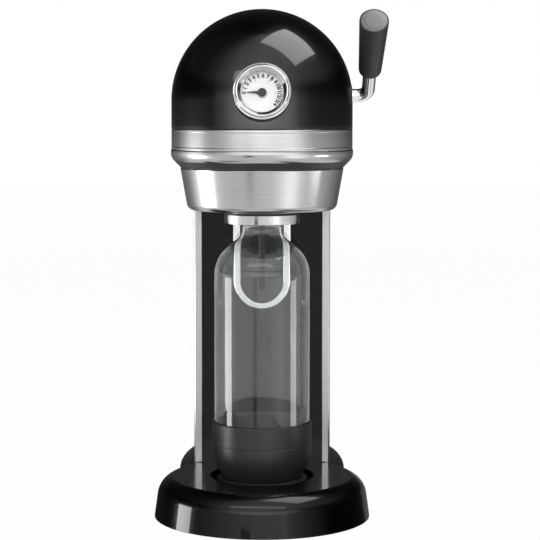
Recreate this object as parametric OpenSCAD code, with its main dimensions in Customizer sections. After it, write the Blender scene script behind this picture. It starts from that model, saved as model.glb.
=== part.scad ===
// Sparkling water maker for a worktop: a domed head on a tower holds a hinged bottle collar.
// The lever turns a cam, the cam lifts a rocker, and the rocker presses the gas valve's plunger.
// Frame: +Z up, origin on the worktop under the bottle's axis, front towards -Y, millimetres.

/* [Base] */
// Radius of the round base at the worktop
base_r = 97.3; // [90:0.1:105]
// Height of the base's flat top
base_h = 36.5; // [32:0.5:41]
// Radius of the rounded shoulder of the base
base_round = 19; // [16:0.5:22]
// Distance that the base's side leans in below the shoulder
base_lean = 2.7; // [0.5:0.1:4]
// Wall of the base moulding
base_t = 3; // [2:0.1:4]
// Radius of the low rear lobe that carries the tower
lobe_r = 80; // [79:0.5:90]
// Height of the rear lobe
lobe_h = 16; // [14:0.5:19]
// Thickness of the plate that closes the base from below
plate_t = 3; // [2:0.1:4]
// Radius of a rubber foot
foot_r = 8; // [6:0.5:12]
// Height of a rubber foot
foot_h = 3; // [2.5:0.1:5]
// Radius of the shallow seat under the bottle
seat_r = 41; // [38:0.5:46]
// Depth of the seat
seat_depth = 2; // [1:0.1:2.5]

/* [Bottle] */
// Outer radius of the bottle
bottle_r = 43; // [40:0.5:46]
// Height of the bottle with its boot
bottle_h = 259.7; // [240:0.1:280]
// Wall of the bottle
bottle_t = 1.6; // [1.2:0.1:2.5]
// Outer radius of the bottle's neck
neck_r = 18.3; // [16:0.1:20]
// Length of the straight neck
neck_len = 35.6; // [32:0.2:40]
// Radius of the shoulder's outward curve
shoulder_r = 35; // [30:0.5:40]
// Radius of the curve between shoulder and neck
throat_r = 12; // [8:0.5:16]
// Wall of the boot around the bottle's foot
boot_t = 1.6; // [1.2:0.1:3]
// Height of the boot
boot_h = 50.7; // [44:0.1:60]

/* [Tower] */
// Width of the tower over its rails
tower_w = 127; // [120:0.5:134]
// Free depth between the bottle and the front panel
bottle_gap = 14; // [13:0.5:20]
// Width of a side rail
rail_w = 7.5; // [5:0.1:9]
// Depth of a side rail
rail_d = 22; // [18:0.5:28]
// Thickness of the front panel
panel_t = 3; // [2:0.1:4]
// Thickness of the frame behind the panel
frame_t = 3; // [2:0.1:4]
// Wall of the rear cover
cover_t = 2.6; // [2:0.1:4]
// Overhang of the rear cover's bun foot
bun_out = 14.5; // [10:0.5:15]
// Radius of the bun foot's shoulder
bun_round = 22; // [16:0.5:26]

/* [Gas cylinder] */
// Radius of the gas cylinder
cyl_r = 30; // [28:0.5:31]
// Radius of the cylinder's brass valve
valve_r = 13; // [11:0.5:15]
// Wall of the gas cylinder
cyl_t = 4; // [3:0.1:5]
// Free depth between tower frame and cylinder
cyl_gap = 5; // [4:0.5:8]
// Radius of the plunger that opens the valve
plunger_r = 4; // [3:0.1:5]

/* [Head] */
// Radius of the dome
dome_r = 81; // [79:0.5:86]
// Wall of the dome
dome_t = 3; // [2:0.1:4]
// Height of the dome's straight wall
dome_wall_h = 25.5; // [22:0.5:32]
// Height of the trim band
band_h = 18.5; // [16:0.5:24]
// Height of the raised edges of the trim strip
strip_edge_h = 2.6; // [1.5:0.1:4]
// Angle from the middle of the trim strip to its end
strip_a = 70; // [50:1:80]
// Height of the head ring
ring_h = 16.5; // [14:0.5:22]
// Radius of the head ring's rounded lower edge
ring_round = 10; // [7:0.5:11]
// Distance that the cone's top stands inside the dome's radius
cone_in = 8; // [6:0.5:10]
// Height of the cone
cone_h = 37.5; // [34:0.5:42]
// Distance that the cone's side leans in
cone_lean = 5.5; // [4:0.1:8]
// Radius of the cone's lower edge
cone_round = 6.5; // [4:0.5:8]
// Wall of the cone
cone_t = 2; // [1.2:0.1:3]
// Thickness of the chassis plate
floor_t = 3; // [2:0.1:4]

/* [Gauge] */
// Outer radius of the gauge's bezel
bezel_r = 25; // [22:0.5:27]
// Radius of the visible dial
dial_r = 18.2; // [15:0.1:19]
// Angle that the gauge looks up
gauge_tilt = 15; // [10:1:18]

/* [Lever] */
// Radius of the lever's shaft and arm
arm_r = 5.8; // [5:0.1:6.5]
// Radius of the arm's elbow on its centre line
elbow_r = 10; // [8:0.5:11]
// Lean of the lever towards the front at rest
lever_lean = 55; // [45:1:62]
// Distance from the lever's pivot to the start of the grip
grip_start = 37; // [32:0.5:42]
// Length of the grip
grip_len = 72; // [60:1:84]
// Radius of the grip at its lower end
grip_r0 = 9.9; // [9:0.1:11]
// Radius of the grip at its upper end
grip_r1 = 12.4; // [11:0.1:14]
// Radius of the cam
cam_r = 14; // [13:0.5:16]
// Offset of the cam's centre from the shaft
cam_offset = 4; // [3:0.1:5]

/* [Collar] */
// Outer radius of the bottle collar
collar_r = 34; // [32:0.5:36]
// Height of the collar
collar_h = 20; // [17:0.5:22]
// Height of the silver trim on the collar
trim_h = 8.3; // [6:0.1:12]
// Half width of the chrome bracket behind the bottle
bracket_half = 26.6; // [24:0.1:28]
// Width of the bracket's strap
bracket_w = 6.6; // [4:0.1:8]
// Drop of the bracket below the collar
bracket_drop = 85.5; // [70:0.5:100]
// Radius of the carbonation tube
tube_r = 3; // [2.5:0.1:4]
// Length of the carbonation tube below the bottle's mouth
tube_len = 90; // [70:1:130]
// Radius of the gas hose
hose_r = 3.5; // [2.5:0.1:4.5]

/* [Hidden] */
$fn = 96;

// Clearances
fit = 0.05;
gap = 0.3;
seat_gap = 0.5;
over = 1;

// Fasteners
screw_r = 1.5;
screw_head_r = 3;
screw_head_h = 1.8;
screw_len = 9;
boss_r = 4;

// Base
edge_z = 0.3;
crease = 1;
base_flat_r = base_r - base_lean - base_round;
plate_z1 = foot_h + plate_t;
mat_t = 0.4 * seat_depth;

// Bottle, counted up from the seat
bottle_z0 = base_h - seat_depth + mat_t + seat_gap;
bottle_z1 = bottle_z0 + bottle_h;
boot_r = bottle_r + 0.2 + boot_t;
bowl_z = bottle_z0 + 0.643 * boot_r;
neck_z = bottle_z1 - neck_len;
shoulder_x = bottle_r - shoulder_r;
throat_x = neck_r + throat_r;
shoulder_z = neck_z - sqrt(pow(shoulder_r + throat_r, 2) - pow(throat_x - shoulder_x, 2));
tangent_a = atan2(neck_z - shoulder_z, throat_x - shoulder_x);

// Tower
tower_y = bottle_r + bottle_gap;
tower_half = tower_w / 2;
rail_x = tower_half - rail_w;
cover_y = tower_y + rail_d + gap;
panel_half = rail_x - gap;
frame_y = tower_y + panel_t;
frame_y1 = frame_y + frame_t;
cyl_y = frame_y1 + cyl_gap + cyl_r;
lobe_y = cover_y;
bun_straight = 9;
cover_rise = 7.2;
bun_z = lobe_h + gap + bun_straight;

// Head, counted up from the bottle's mouth
head_lift = 19.5;
head_z = bottle_z1 + head_lift;
ledge_t = 3;
floor_z = head_z + ledge_t;
floor_z1 = floor_z + floor_t;
ring_z1 = head_z + ring_h;
band_z1 = ring_z1 + band_h;
dome_z = band_z1 + dome_wall_h;
ring_r = dome_r + 0.6;
cone_r = dome_r - cone_in;
ring_side = 3;
ring_lip = 0.8;
strip_plate = 0.35;
strip_out = 0.8;
spigot_t = 2.7;
spigot_h = 6;
spigot_r = dome_r - dome_t - gap;
head_len = cover_y + tower_half + 0.2 - dome_r;
ledge_r = cone_r - 7;
floor_r = cone_r - 2;
flange_t = 3;
flange_r = ledge_r - 2;
cone_z = head_z - cone_h;
cone_a = atan(cone_lean / (cone_h - cone_round));
cone_round_x = cone_r - cone_lean - cone_round;
cone_end_y = tower_y - gap;
tower_top = floor_z;

// Collar
neck_in = 30;
collar_z = bottle_z1 - neck_in;
collar_z1 = collar_z + collar_h;
collar_bore_r = neck_r + 3.2;
nozzle_r = neck_r + 5.7;
nozzle_top = bottle_z1 + 8;
seal_z = bottle_z1 + gap;
seal_t = 1.6;
hinge_r = 6;
tilt_room = 21;
hinge_pin_r = 2.5;
hinge_y = collar_r + hinge_r;
hinge_z = bottle_z1 - 5;
bracket_y = bottle_r + 3;
bracket_t = 5;
bracket_top = collar_z + 2;
bracket_arc_z = bracket_top - bracket_drop + bracket_half;
lug_x = bracket_half + 2;
lug_t = 4;

// Lever train
lever_y = -18;
lever_z = dome_z + 4;
grip_out = 12.5;
grip_x = dome_r + grip_out;
inner_post_x = lug_x + 1.4;
post_inset = 19;
outer_post_x = dome_r - post_inset;
post_t = 4;
bush_r = arm_r + 2.4;
bush_len = post_t + 1;
grommet_r = bush_r;
cam_gap = 3;
cam_x = inner_post_x + post_t + cam_gap;
cam_w = 8;
rocker_y = 40;
rocker_rise = 26;
rocker_z = lever_z + rocker_rise;
rocker_pin_r = 3;
rocker_hub_r = 7;
rocker_under = lever_z + cam_r + gap;
rocker_arm_t = 9;
rocker_x0 = -11;
rocker_x1 = cam_x + cam_w + cam_gap;

// Gas valve
cyl_z0 = base_h + 4;
cyl_rise = 29.5;
cyl_neck_z = floor_z1 + cyl_rise;
cyl_shoulder_h = 27;
cyl_round_z = cyl_neck_z - cyl_shoulder_h;
block_z = cyl_neck_z + 5;
block_h = 40;
block_z1 = block_z + block_h;
block_half = 20;
valve_in = 26.5;
valve_top = block_z + valve_in;
valve_seal_z = valve_top + 0.5;
socket_z = valve_seal_z + 2;
plunger_head_t = 2.8;
plunger_head_r = plunger_r + 3;
plunger_spring_h = 5.2;
plunger_top = block_z1 + plunger_spring_h + plunger_head_t;
block_ear = 18.5;
hose_z = block_z + 15;
hose_bend = 30;
pipe_r = 1.5;
pipe_x = 12;
pipe_socket = 6;

// Gauge, set in the front of the dome
gauge_y = -dome_r - 1;
gauge_rise = 7.7;
gauge_z = dome_z + gauge_rise;
gauge_depth = 27;
bezel_depth = 12;
bezel_lip = 2;
glass_r = dial_r + 1.2;
lens_z = -1;
lens_t = 1.5;
dial_z = -7;
dial_t = 1;
needle_z = -5;
needle_t = 2;
needle_hub_r = 3.1;
needle_pin_r = 1;
needle_pin_z = dial_z - 1.5;

// Points of an arc about (x, y), from angle a0 to a1
function arc(x, y, r, a0, a1, n = 10) =
    [for (i = [0:n]) let (a = a0 + (a1 - a0) * i / n) [x + r * cos(a), y + r * sin(a)]];
function polar(r, a) = [r * cos(a), r * sin(a)];
function rear(p) = [p.x, p.y + lobe_y];
function flank(x, y) = [[-x, y], [x, y]];

// Places of the screws and the feet
base_screw_pts = concat(
    [for (a = [-135, -45, 33, 147]) polar(base_flat_r - boss_r, a)],
    [for (a = [60, 120]) rear(polar(lobe_r - base_t - boss_r - 6, a))]);
foot_pts = concat(
    [[0, 0]],
    [for (a = [-90, -10, 190]) polar(base_flat_r - boss_r, a)],
    [for (a = [45, 135]) rear(polar(lobe_r - base_t - foot_r - 4, a))]);
tower_screw_pts = flank(30, frame_y1 + 4.5);
head_post_pts = flank(44, frame_y1 + 4.5);
rim_r = floor_r - screw_head_r - 0.1;
rim_screw_pts = concat(
    [for (a = [-150, -90, -30]) polar(rim_r, a)],
    flank(rim_r, 40),
    [for (a = [50, 130]) polar(rim_r, a) + [0, head_len]]);
chassis_screw_pts = concat(rim_screw_pts, head_post_pts);

// Solid bar between two corners
module block(x0, x1, y0, y1, z0, z1) {
    translate([x0, y0, z0]) cube([x1 - x0, y1 - y0, z1 - z0]);
}

// Both copies of a shape, left and right
module both_sides() {
    children();
    mirror([1, 0, 0]) children();
}

// Cylinder along X
module x_rod(x0, x1, y, z, r) {
    translate([x0, y, z]) rotate([0, 90, 0]) cylinder(r = r, h = x1 - x0);
}

// Tube along X
module x_tube(x0, x1, y, z, r, bore) {
    difference() {
        x_rod(x0, x1, y, z, r);
        x_rod(x0 - over, x1 + over, y, z, bore);
    }
}

// Screw pointing up or down from the face at z
module screw(p, z, up, len = screw_len) {
    translate([p.x, p.y, z]) mirror([0, 0, up ? 0 : 1]) {
        translate([0, 0, -screw_head_h]) cylinder(r = screw_head_r, h = screw_head_h);
        cylinder(r = screw_r, h = len);
    }
}

// Round hole from z0 to z1
module hole(p, r, z0, z1) {
    translate([p.x, p.y, z0]) cylinder(r = r, h = z1 - z0);
}

// Bend of a round tube in the plane X = x, angles counted from +Y towards +Z
module yz_bend(x, y, z, bend, r, a0, a) {
    translate([x, y, z]) rotate([90, 0, 90]) rotate([0, 0, a0]) rotate_extrude(angle = a)
        translate([bend, 0]) circle(r = r);
}

// Wall profile swept round the head's long plan: front half, straight sides, rear half
module front_sweep(len) {
    rotate([0, 0, 180]) rotate_extrude(angle = 180) children();
    translate([0, len, 0]) rotate([90, 0, 0]) linear_extrude(len) {
        children();
        mirror([1, 0]) children();
    }
}
module head_sweep() {
    front_sweep(head_len) children();
    translate([0, head_len, 0]) rotate_extrude(angle = 180) children();
}

// Flat outline of the head's plan
module head_plan(r, len) {
    polygon(concat([[r, len], [-r, len]], arc(0, 0, r, 180, 360, 32)));
}

// Base

// The side runs straight up from the rim until it touches the shoulder's arc
module base_disc(t, z0) {
    x = base_flat_r;
    z = base_h - base_round + crease;
    r = base_round - t;
    rim = [base_r - t - x, z0 - z];
    touch_a = atan2(rim.y, rim.x) + acos(r / norm(rim));
    rotate_extrude() polygon(concat(
        [[0, z0], [base_r - t, z0]],
        arc(x, z, r, touch_a, asin((base_h - t - z) / r)),
        [[0, base_h - t]]));
}

module rear_lobe(t, z0) {
    round_r = 4;
    translate([0, lobe_y, 0]) rotate_extrude() polygon(concat(
        [[0, z0], [lobe_r - t, z0]],
        arc(lobe_r - t - round_r, lobe_h - t - round_r, round_r, 0, 90, 5),
        [[0, lobe_h - t]]));
}

module base_shell() {
    color("#1b1b1d") difference() {
        union() {
            difference() {
                union() {
                    base_disc(0, edge_z);
                    rear_lobe(0, edge_z);
                }
                base_disc(base_t, edge_z - over);
                rear_lobe(base_t, edge_z - over);
            }
            for (p = base_screw_pts)
                hole(p, boss_r, plate_z1, (p.y > base_r ? lobe_h : base_h) - base_t / 2);
        }
        hole([0, 0], seat_r, base_h - seat_depth, base_h + over);
        for (p = base_screw_pts) hole(p, screw_r + fit, plate_z1 - over, foot_h + screw_len + gap);
        for (p = tower_screw_pts) hole(p, screw_r + fit, 0, base_h + over);
    }
}

module base_plate() {
    color("#2a2a2c") difference() {
        translate([0, 0, foot_h]) linear_extrude(plate_t) union() {
            circle(r = base_r - base_t - 1.5);
            translate([0, lobe_y]) circle(r = lobe_r - base_t - gap);
        }
        for (p = base_screw_pts) hole(p, screw_r + fit, 0, plate_z1 + over);
    }
}

module rubber_feet() {
    color("#151515") for (p = foot_pts) hole(p, foot_r, 0, foot_h);
}

module base_screws() {
    color("silver") for (p = base_screw_pts) screw(p, foot_h, true);
}

module bottle_mat() {
    color("#262628") hole([0, 0], seat_r - gap, base_h - seat_depth, base_h - seat_depth + mat_t);
}

module tower_screws() {
    color("silver") for (p = tower_screw_pts) screw(p, base_h - base_t, true);
}

// Tower

module front_panel() {
    color("#202022") block(-panel_half, panel_half, tower_y, frame_y, base_h, tower_top);
}

module side_rail() {
    edge = 1.5;
    difference() {
        translate([0, 0, lobe_h]) linear_extrude(tower_top - lobe_h) polygon([
            [rail_x, tower_y + rail_d], [rail_x, tower_y], [tower_half - edge, tower_y],
            [tower_half, tower_y + edge], [tower_half, tower_y + rail_d]]);
        base_disc(-gap, edge_z);
    }
}
module side_rail_right() {
    color("#c9cbcd") side_rail();
}
module side_rail_left() {
    color("#c9cbcd") mirror([1, 0, 0]) side_rail();
}

module tower_frame() {
    flange = 3;
    half = 6;
    depth = 9;
    color("#77797c") difference() {
        union() {
            block(-panel_half, panel_half, frame_y, frame_y1, base_h, tower_top);
            both_sides()
                block(panel_half - flange, panel_half, frame_y1, tower_y + rail_d, base_h + over, head_z);
            for (p = tower_screw_pts)
                block(p.x - half, p.x + half, frame_y1, frame_y1 + depth, base_h, base_h + 12);
            for (p = head_post_pts)
                block(p.x - half, p.x + half, frame_y1, frame_y1 + depth, tower_top - 20, tower_top);
        }
        for (p = tower_screw_pts) hole(p, screw_r + fit, base_h - over, base_h - base_t + screw_len + gap);
        for (p = head_post_pts) hole(p, screw_r + fit, floor_z1 - screw_len - gap, tower_top + over);
    }
}

module cylinder_rest() {
    rim = 3;
    color("#2c2c2e") difference() {
        translate([0, cyl_y, lobe_h]) cylinder(r = cyl_r + rim, h = cyl_z0 + 5 - lobe_h);
        hole([0, 0], base_r + gap, lobe_h - over, base_h);
        hole([0, cyl_y], cyl_r + 0.4, cyl_z0, cyl_z0 + 5 + over);
    }
}

module rear_cover() {
    r0 = tower_half;
    r1 = r0 + bun_out;
    inner = r0 - cover_t;
    foot = lobe_h + gap;
    x = r1 - bun_round;
    top = head_z + cover_rise;
    bun = concat([[r1, foot]], arc(x, bun_z, bun_round, 0, acos((r0 - x) / bun_round)));
    color("#3b3b3d") difference() {
        union() {
            translate([0, cover_y, 0]) rotate_extrude(angle = 180) polygon(concat(
                [[r1 - cover_t, foot]], bun, [[r0, top], [inner, top]],
                arc(x, bun_z, bun_round - cover_t, acos((inner - x) / (bun_round - cover_t)), 0)));
            both_sides() translate([0, cover_y + cover_t, 0]) rotate([90, 0, 0]) linear_extrude(cover_t)
                polygon(concat([[inner, bun[len(bun) - 1].y], [inner, foot]], bun));
        }
        base_disc(-2 * gap, edge_z);
        head_sweep() polygon([
            [0, head_z - gap], [cone_r + gap, head_z - gap], [ring_r + 2 * gap, top], [0, top + over]]);
    }
}

// Gas cylinder and its valve

module cylinder_profile(t) {
    foot = 6 - t;
    neck_x = valve_r + 1 - 1.5 * t;
    round_r = cyl_r - valve_r - 1 - t;
    z0 = cyl_z0 + t;
    polygon(concat(
        [[0, z0]],
        arc(cyl_r - t - foot, z0 + foot, foot, -90, 0, 6),
        arc(cyl_r - t - round_r, cyl_round_z, round_r, 0, 75),
        [[neck_x, cyl_neck_z - t], [neck_x, cyl_neck_z], [0, cyl_neck_z]]));
}

module gas_cylinder() {
    color("#8d9196") translate([0, cyl_y, 0]) rotate_extrude() difference() {
        cylinder_profile(0);
        cylinder_profile(cyl_t);
    }
}

module cylinder_valve() {
    color("#b8964c") translate([0, cyl_y, 0]) difference() {
        translate([0, 0, cyl_neck_z]) cylinder(r = valve_r, h = valve_top - cyl_neck_z);
        translate([0, 0, valve_top - 4]) difference() {
            cylinder(r = 5, h = 4 + over);
            cylinder(r = 2, h = 3.5);
        }
    }
}

module valve_block() {
    ear_t = 6;
    ear_half = 6;
    side = block_half + block_ear;
    color("#9a9da1") difference() {
        union() {
            block(-block_half, block_half, cyl_y - block_half, cyl_y + block_half, block_z, block_z1);
            block(-side, side, cyl_y - ear_half, cyl_y + ear_half, block_z, block_z + ear_t);
        }
        hole([0, cyl_y], valve_r + fit, block_z - over, socket_z);
        hole([0, cyl_y], plunger_r + fit, block_z, block_z1 + over);
    }
}

module valve_seal() {
    color("#202020") difference() {
        hole([0, cyl_y], valve_r - 0.1, valve_seal_z, socket_z);
        hole([0, cyl_y], plunger_r + over, valve_seal_z - over, socket_z + over);
    }
}

module plunger() {
    color("#c0c2c4") {
        hole([0, cyl_y], plunger_r, valve_top + 5.5, plunger_top - plunger_head_t);
        hole([0, cyl_y], plunger_head_r, plunger_top - plunger_head_t, plunger_top);
    }
}

module plunger_spring() {
    color("#a0a2a5") difference() {
        hole([0, cyl_y], plunger_head_r - 0.5, block_z1, block_z1 + plunger_spring_h);
        hole([0, cyl_y], plunger_r + gap, block_z1 - over, block_z1 + plunger_spring_h + over);
    }
}

module gas_hose() {
    y1 = cyl_y - block_half;
    color("#1f1f20") {
        translate([0, hose_bend, hose_z]) rotate([-90, 0, 0]) cylinder(r = hose_r, h = y1 - hose_bend);
        yz_bend(0, hose_bend, hose_z - hose_bend, hose_bend, hose_r, 90, 90);
        hole([0, 0], hose_r, nozzle_top, hose_z - hose_bend);
    }
}

// Head

module cone_profile(t) {
    top_x = cone_r - t;
    r = cone_round - t;
    polygon(concat(
        [[0, head_z], [top_x, head_z]],
        arc(cone_round_x, cone_z + cone_round, r, -cone_a, -90),
        [[0, cone_z + t]]));
}

module cone_skirt() {
    color("#bfc1c3") difference() {
        front_sweep(cone_end_y) {
            difference() {
                cone_profile(0);
                cone_profile(cone_t);
                square([cone_round_x, head_z - flange_t]);
            }
            translate([flange_r, head_z - flange_t])
                square([cone_r - (cone_t + flange_t) / 2 - flange_r, flange_t]);
        }
        for (p = rim_screw_pts) hole(p, screw_r + fit, head_z - flange_t - over, head_z + over);
    }
}

module under_plate() {
    mouth_r = collar_r + 4;
    color("#2b2b2d") translate([0, 0, cone_z]) linear_extrude(cone_t) difference() {
        head_plan(cone_round_x - 0.2, cone_end_y);
        translate([0, -4]) head_plan(mouth_r, cone_end_y + 5);
    }
}

module head_ring() {
    color("#bfc1c3") difference() {
        head_sweep() polygon(concat(
            [[ledge_r, head_z], [cone_r, head_z], [cone_r, head_z + ring_lip]],
            arc(ring_r - ring_round, ring_z1 - ring_side, ring_round, -45, 0),
            [[ring_r, ring_z1], [spigot_r, ring_z1], [spigot_r, ring_z1 + spigot_h],
            [spigot_r - spigot_t, ring_z1 + spigot_h], [spigot_r - spigot_t, floor_z1 + ring_side],
            [floor_r + gap, floor_z1], [floor_r + gap, floor_z], [ledge_r, floor_z]]));
        for (p = rim_screw_pts) hole(p, screw_r + fit, head_z - over, floor_z + over);
    }
}

module trim_band() {
    color("#b4b6b8") head_sweep() translate([dome_r - dome_t, ring_z1]) square([dome_t, band_h]);
}

// Plate across the front of the band, with a raised edge at its top and its bottom
module trim_strip() {
    r0 = dome_r + fit;
    plate = dome_r + strip_plate;
    edge = dome_r + strip_out;
    z0 = ring_z1 + strip_edge_h;
    z1 = band_z1 - strip_edge_h;
    color("#c9cbcd") rotate([0, 0, -90 - strip_a]) rotate_extrude(angle = 2 * strip_a) polygon([
        [r0, ring_z1], [edge, ring_z1], [edge, z0], [plate, z0], [plate, z1], [edge, z1], [edge, band_z1],
        [r0, band_z1]]);
}

module dome_profile(r, z0) {
    translate([0, dome_z]) intersection() {
        circle(r = r);
        square([r, r]);
    }
    translate([0, z0]) square([r, dome_z - z0]);
}

module dome_cover() {
    color("#151517") difference() {
        union() {
            head_sweep() difference() {
                dome_profile(dome_r, band_z1);
                dome_profile(dome_r - dome_t, band_z1 - over);
            }
            head_sweep() translate([spigot_r - spigot_t, band_z1 - spigot_h])
                polygon([[0, 0], [spigot_t, 0], [spigot_t, spigot_h], [spigot_t + gap + over, spigot_h],
                    [spigot_t + gap + over, spigot_h + 6], [0, spigot_h + 3]]);
        }
        gauge_frame() translate([0, 0, -25]) cylinder(r = bezel_r + 0.2, h = 50);
        x_rod(outer_post_x + post_t, dome_r + over, lever_y, lever_z, grommet_r + 0.1);
    }
}

module chassis() {
    mouth_x = nozzle_r + 4;
    post_y = bush_r + 2.5;
    arm_y = 6;
    rocker_top = rocker_z + rocker_hub_r + 1;
    ear_x = block_half + block_ear;
    color("#6f7174") difference() {
        union() {
            translate([0, 0, floor_z]) linear_extrude(floor_t) {
                head_plan(floor_r, head_len);
                translate([0, head_len]) circle(r = floor_r);
            }
            both_sides() block(lug_x, lug_x + lug_t, hinge_y - hinge_r - 1, hinge_y + hinge_r + 1,
                hinge_z - hinge_r, floor_z);
            for (x = [inner_post_x, outer_post_x])
                block(x, x + post_t, lever_y - post_y, lever_y + post_y, floor_z1, lever_z + bush_r + 3);
            for (x = [rocker_x0 - 1 - post_t, rocker_x1 + 1])
                block(x, x + post_t, rocker_y - arm_y, rocker_y + arm_y, floor_z1, rocker_top);
            both_sides() block(ear_x - 6, ear_x, cyl_y - arm_y, cyl_y + arm_y, floor_z1, block_z);
        }
        block(-mouth_x, mouth_x, -nozzle_r - tilt_room, hose_bend, floor_z - over, floor_z1 + over);
        hole([0, cyl_y], cyl_r + 1.5, floor_z - over, floor_z1 + over);
        for (p = chassis_screw_pts) hole(p, screw_r + fit, floor_z - over, floor_z1 + over);
        x_rod(-lug_x - lug_t - over, lug_x + lug_t + over, hinge_y, hinge_z, hinge_pin_r + fit);
        x_rod(inner_post_x - over, outer_post_x + post_t + over, lever_y, lever_z, bush_r + fit);
        x_rod(rocker_x0 - 10, rocker_x1 + 10, rocker_y, rocker_z, rocker_pin_r + fit);
    }
}

module chassis_screws() {
    color("silver") for (p = chassis_screw_pts) screw(p, floor_z1, false);
}

// Gauge, drawn about its own axis with the dial facing local +Z

module gauge_frame() {
    translate([0, gauge_y, gauge_z]) rotate([90 - gauge_tilt, 0, 0]) children();
}

module gauge_bezel() {
    color("#d5d7d9") gauge_frame() rotate_extrude() polygon(concat(
        [[glass_r + 0.2, -bezel_depth], [bezel_r, -bezel_depth]],
        arc(bezel_r - 3, -1, 3, 0, 90, 6),
        [[dial_r, bezel_lip - 1], [dial_r, 0.5], [glass_r + 0.2, 0.5]]));
}

module gauge_lens() {
    color("#dfe8ee", 0.3) gauge_frame() translate([0, 0, lens_z]) cylinder(r = glass_r, h = lens_t);
}

module gauge_dial() {
    color("white") gauge_frame() translate([0, 0, dial_z]) difference() {
        cylinder(r = glass_r, h = dial_t);
        translate([0, 0, -over]) cylinder(r = needle_pin_r + fit, h = dial_t + 2 * over);
    }
}

module gauge_body() {
    color("#47494c") difference() {
        gauge_frame() translate([0, 0, -gauge_depth]) cylinder(r = glass_r, h = gauge_depth + dial_z);
        gauge_frame() translate([0, 0, needle_pin_z - 0.5]) cylinder(r = needle_pin_r + fit, h = 3);
        gauge_pipe_rod(pipe_r + fit);
    }
}

module gauge_needle() {
    reach = 0.7 * dial_r;
    color("#55575a") gauge_frame() {
        translate([0, 0, needle_pin_z]) cylinder(r = needle_pin_r, h = needle_z - needle_pin_z);
        translate([0, 0, needle_z]) cylinder(r = needle_hub_r, h = needle_t);
        translate([0, 0, needle_z + 0.2 * needle_t]) linear_extrude(0.4 * needle_t)
            polygon([[0, 1.1], [-reach, 0.5], [-reach, -0.5], [0, -1.1]]);
    }
}

module gauge_pipe() {
    color("#b0773f") gauge_pipe_rod(pipe_r);
}

// Straight run of the gauge pipe, from its socket in the gauge body to the valve block
module gauge_pipe_rod(r) {
    y0 = gauge_y + gauge_depth * cos(gauge_tilt) - pipe_socket;
    z = gauge_z - gauge_depth * sin(gauge_tilt);
    translate([pipe_x, y0, z]) rotate([-90, 0, 0]) cylinder(r = r, h = cyl_y - block_half - y0);
}

// Lever train

module lever_frame() {
    translate([0, lever_y, lever_z]) rotate([lever_lean, 0, 0]) children();
}

module lever_arm() {
    x1 = grip_x - elbow_r;
    color("#cfd1d3") lever_frame() {
        x_rod(inner_post_x - over, x1, 0, 0, arm_r);
        translate([x1, 0, elbow_r]) rotate([90, 0, 0]) rotate([0, 0, -90]) rotate_extrude(angle = 90)
            translate([elbow_r, 0]) circle(r = arm_r);
        translate([grip_x, 0, elbow_r]) cylinder(r = arm_r, h = grip_start + grip_len / 2 - elbow_r);
    }
}

module lever_grip() {
    lower = 4;
    upper = 1.5;
    tip = grip_start + grip_len;
    color("#333335") lever_frame() translate([grip_x, 0, 0]) difference() {
        rotate_extrude() polygon(concat(
            [[0, grip_start]],
            arc(grip_r0 - lower, grip_start + lower, lower, -90, 0, 6),
            arc(grip_r1 - upper, tip - upper, upper, 0, 90, 5),
            [[0, tip]]));
        translate([0, 0, grip_start - over]) cylinder(r = arm_r + fit, h = over + grip_len / 2 + gap);
    }
}

module lever_cam() {
    color("#8a8c8f") difference() {
        x_rod(cam_x, cam_x + cam_w, lever_y + cam_offset, lever_z, cam_r);
        x_rod(cam_x - over, cam_x + cam_w + over, lever_y, lever_z, arm_r + fit);
    }
}

module lever_bushes() {
    color("#b8964c") for (x = [inner_post_x, outer_post_x])
        translate([post_t / 2, 0, 0])
            x_tube(x - bush_len / 2, x + bush_len / 2, lever_y, lever_z, bush_r, arm_r + fit);
}

module lever_grommet() {
    x0 = outer_post_x + post_t + 5;
    color("#232325") x_tube(x0, dome_r - dome_t / 2, lever_y, lever_z, grommet_r, arm_r + fit);
}

module lever_spring() {
    x0 = cam_x + cam_w + cam_gap;
    x1 = outer_post_x - (bush_len - post_t) / 2 - gap;
    color("#a0a2a5") x_tube(x0, x1, lever_y, lever_z, arm_r + 3, arm_r + 0.7);
}

module rocker_pin() {
    color("#c0c2c4") x_rod(rocker_x0 - post_t - 2, rocker_x1 + post_t + 2, rocker_y, rocker_z, rocker_pin_r);
}

module rocker() {
    rear_half = 6;
    rear_y = cyl_y + plunger_head_r + 1;
    rear_z = plunger_top + gap;
    color("#7d7f83") difference() {
        union() {
            x_rod(rocker_x0, rocker_x1, rocker_y, rocker_z, rocker_hub_r);
            block(cam_x, cam_x + cam_w, lever_y - 6, rocker_y, rocker_under, rocker_under + rocker_arm_t);
            block(-rear_half, rear_half, rocker_y, rear_y, rear_z, rear_z + rocker_arm_t - 2);
        }
        x_rod(rocker_x0 - over, rocker_x1 + over, rocker_y, rocker_z, rocker_pin_r + fit);
    }
}

// Bottle collar

module collar() {
    half = bracket_half;
    color("#29292b") difference() {
        union() {
            hole([0, 0], collar_r, collar_z, collar_z1);
            block(-half, half, collar_bore_r, bracket_y + bracket_t, bracket_top, collar_z1);
            block(-half, half, hinge_y - hinge_r, hinge_y + hinge_r, collar_z1 - over, hinge_z);
            x_rod(-half, half, hinge_y, hinge_z, hinge_r);
        }
        hole([0, 0], collar_bore_r, collar_z - over, collar_z1 + over);
        x_rod(-half - over, half + over, hinge_y, hinge_z, hinge_pin_r + fit);
    }
}

module collar_trim() {
    trim_t = 1.2;
    half_a = 60;
    color("#c9cbcd") rotate([0, 0, -90 - half_a]) rotate_extrude(angle = 2 * half_a)
        translate([collar_r, collar_z]) square([trim_t, trim_h]);
}

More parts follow.
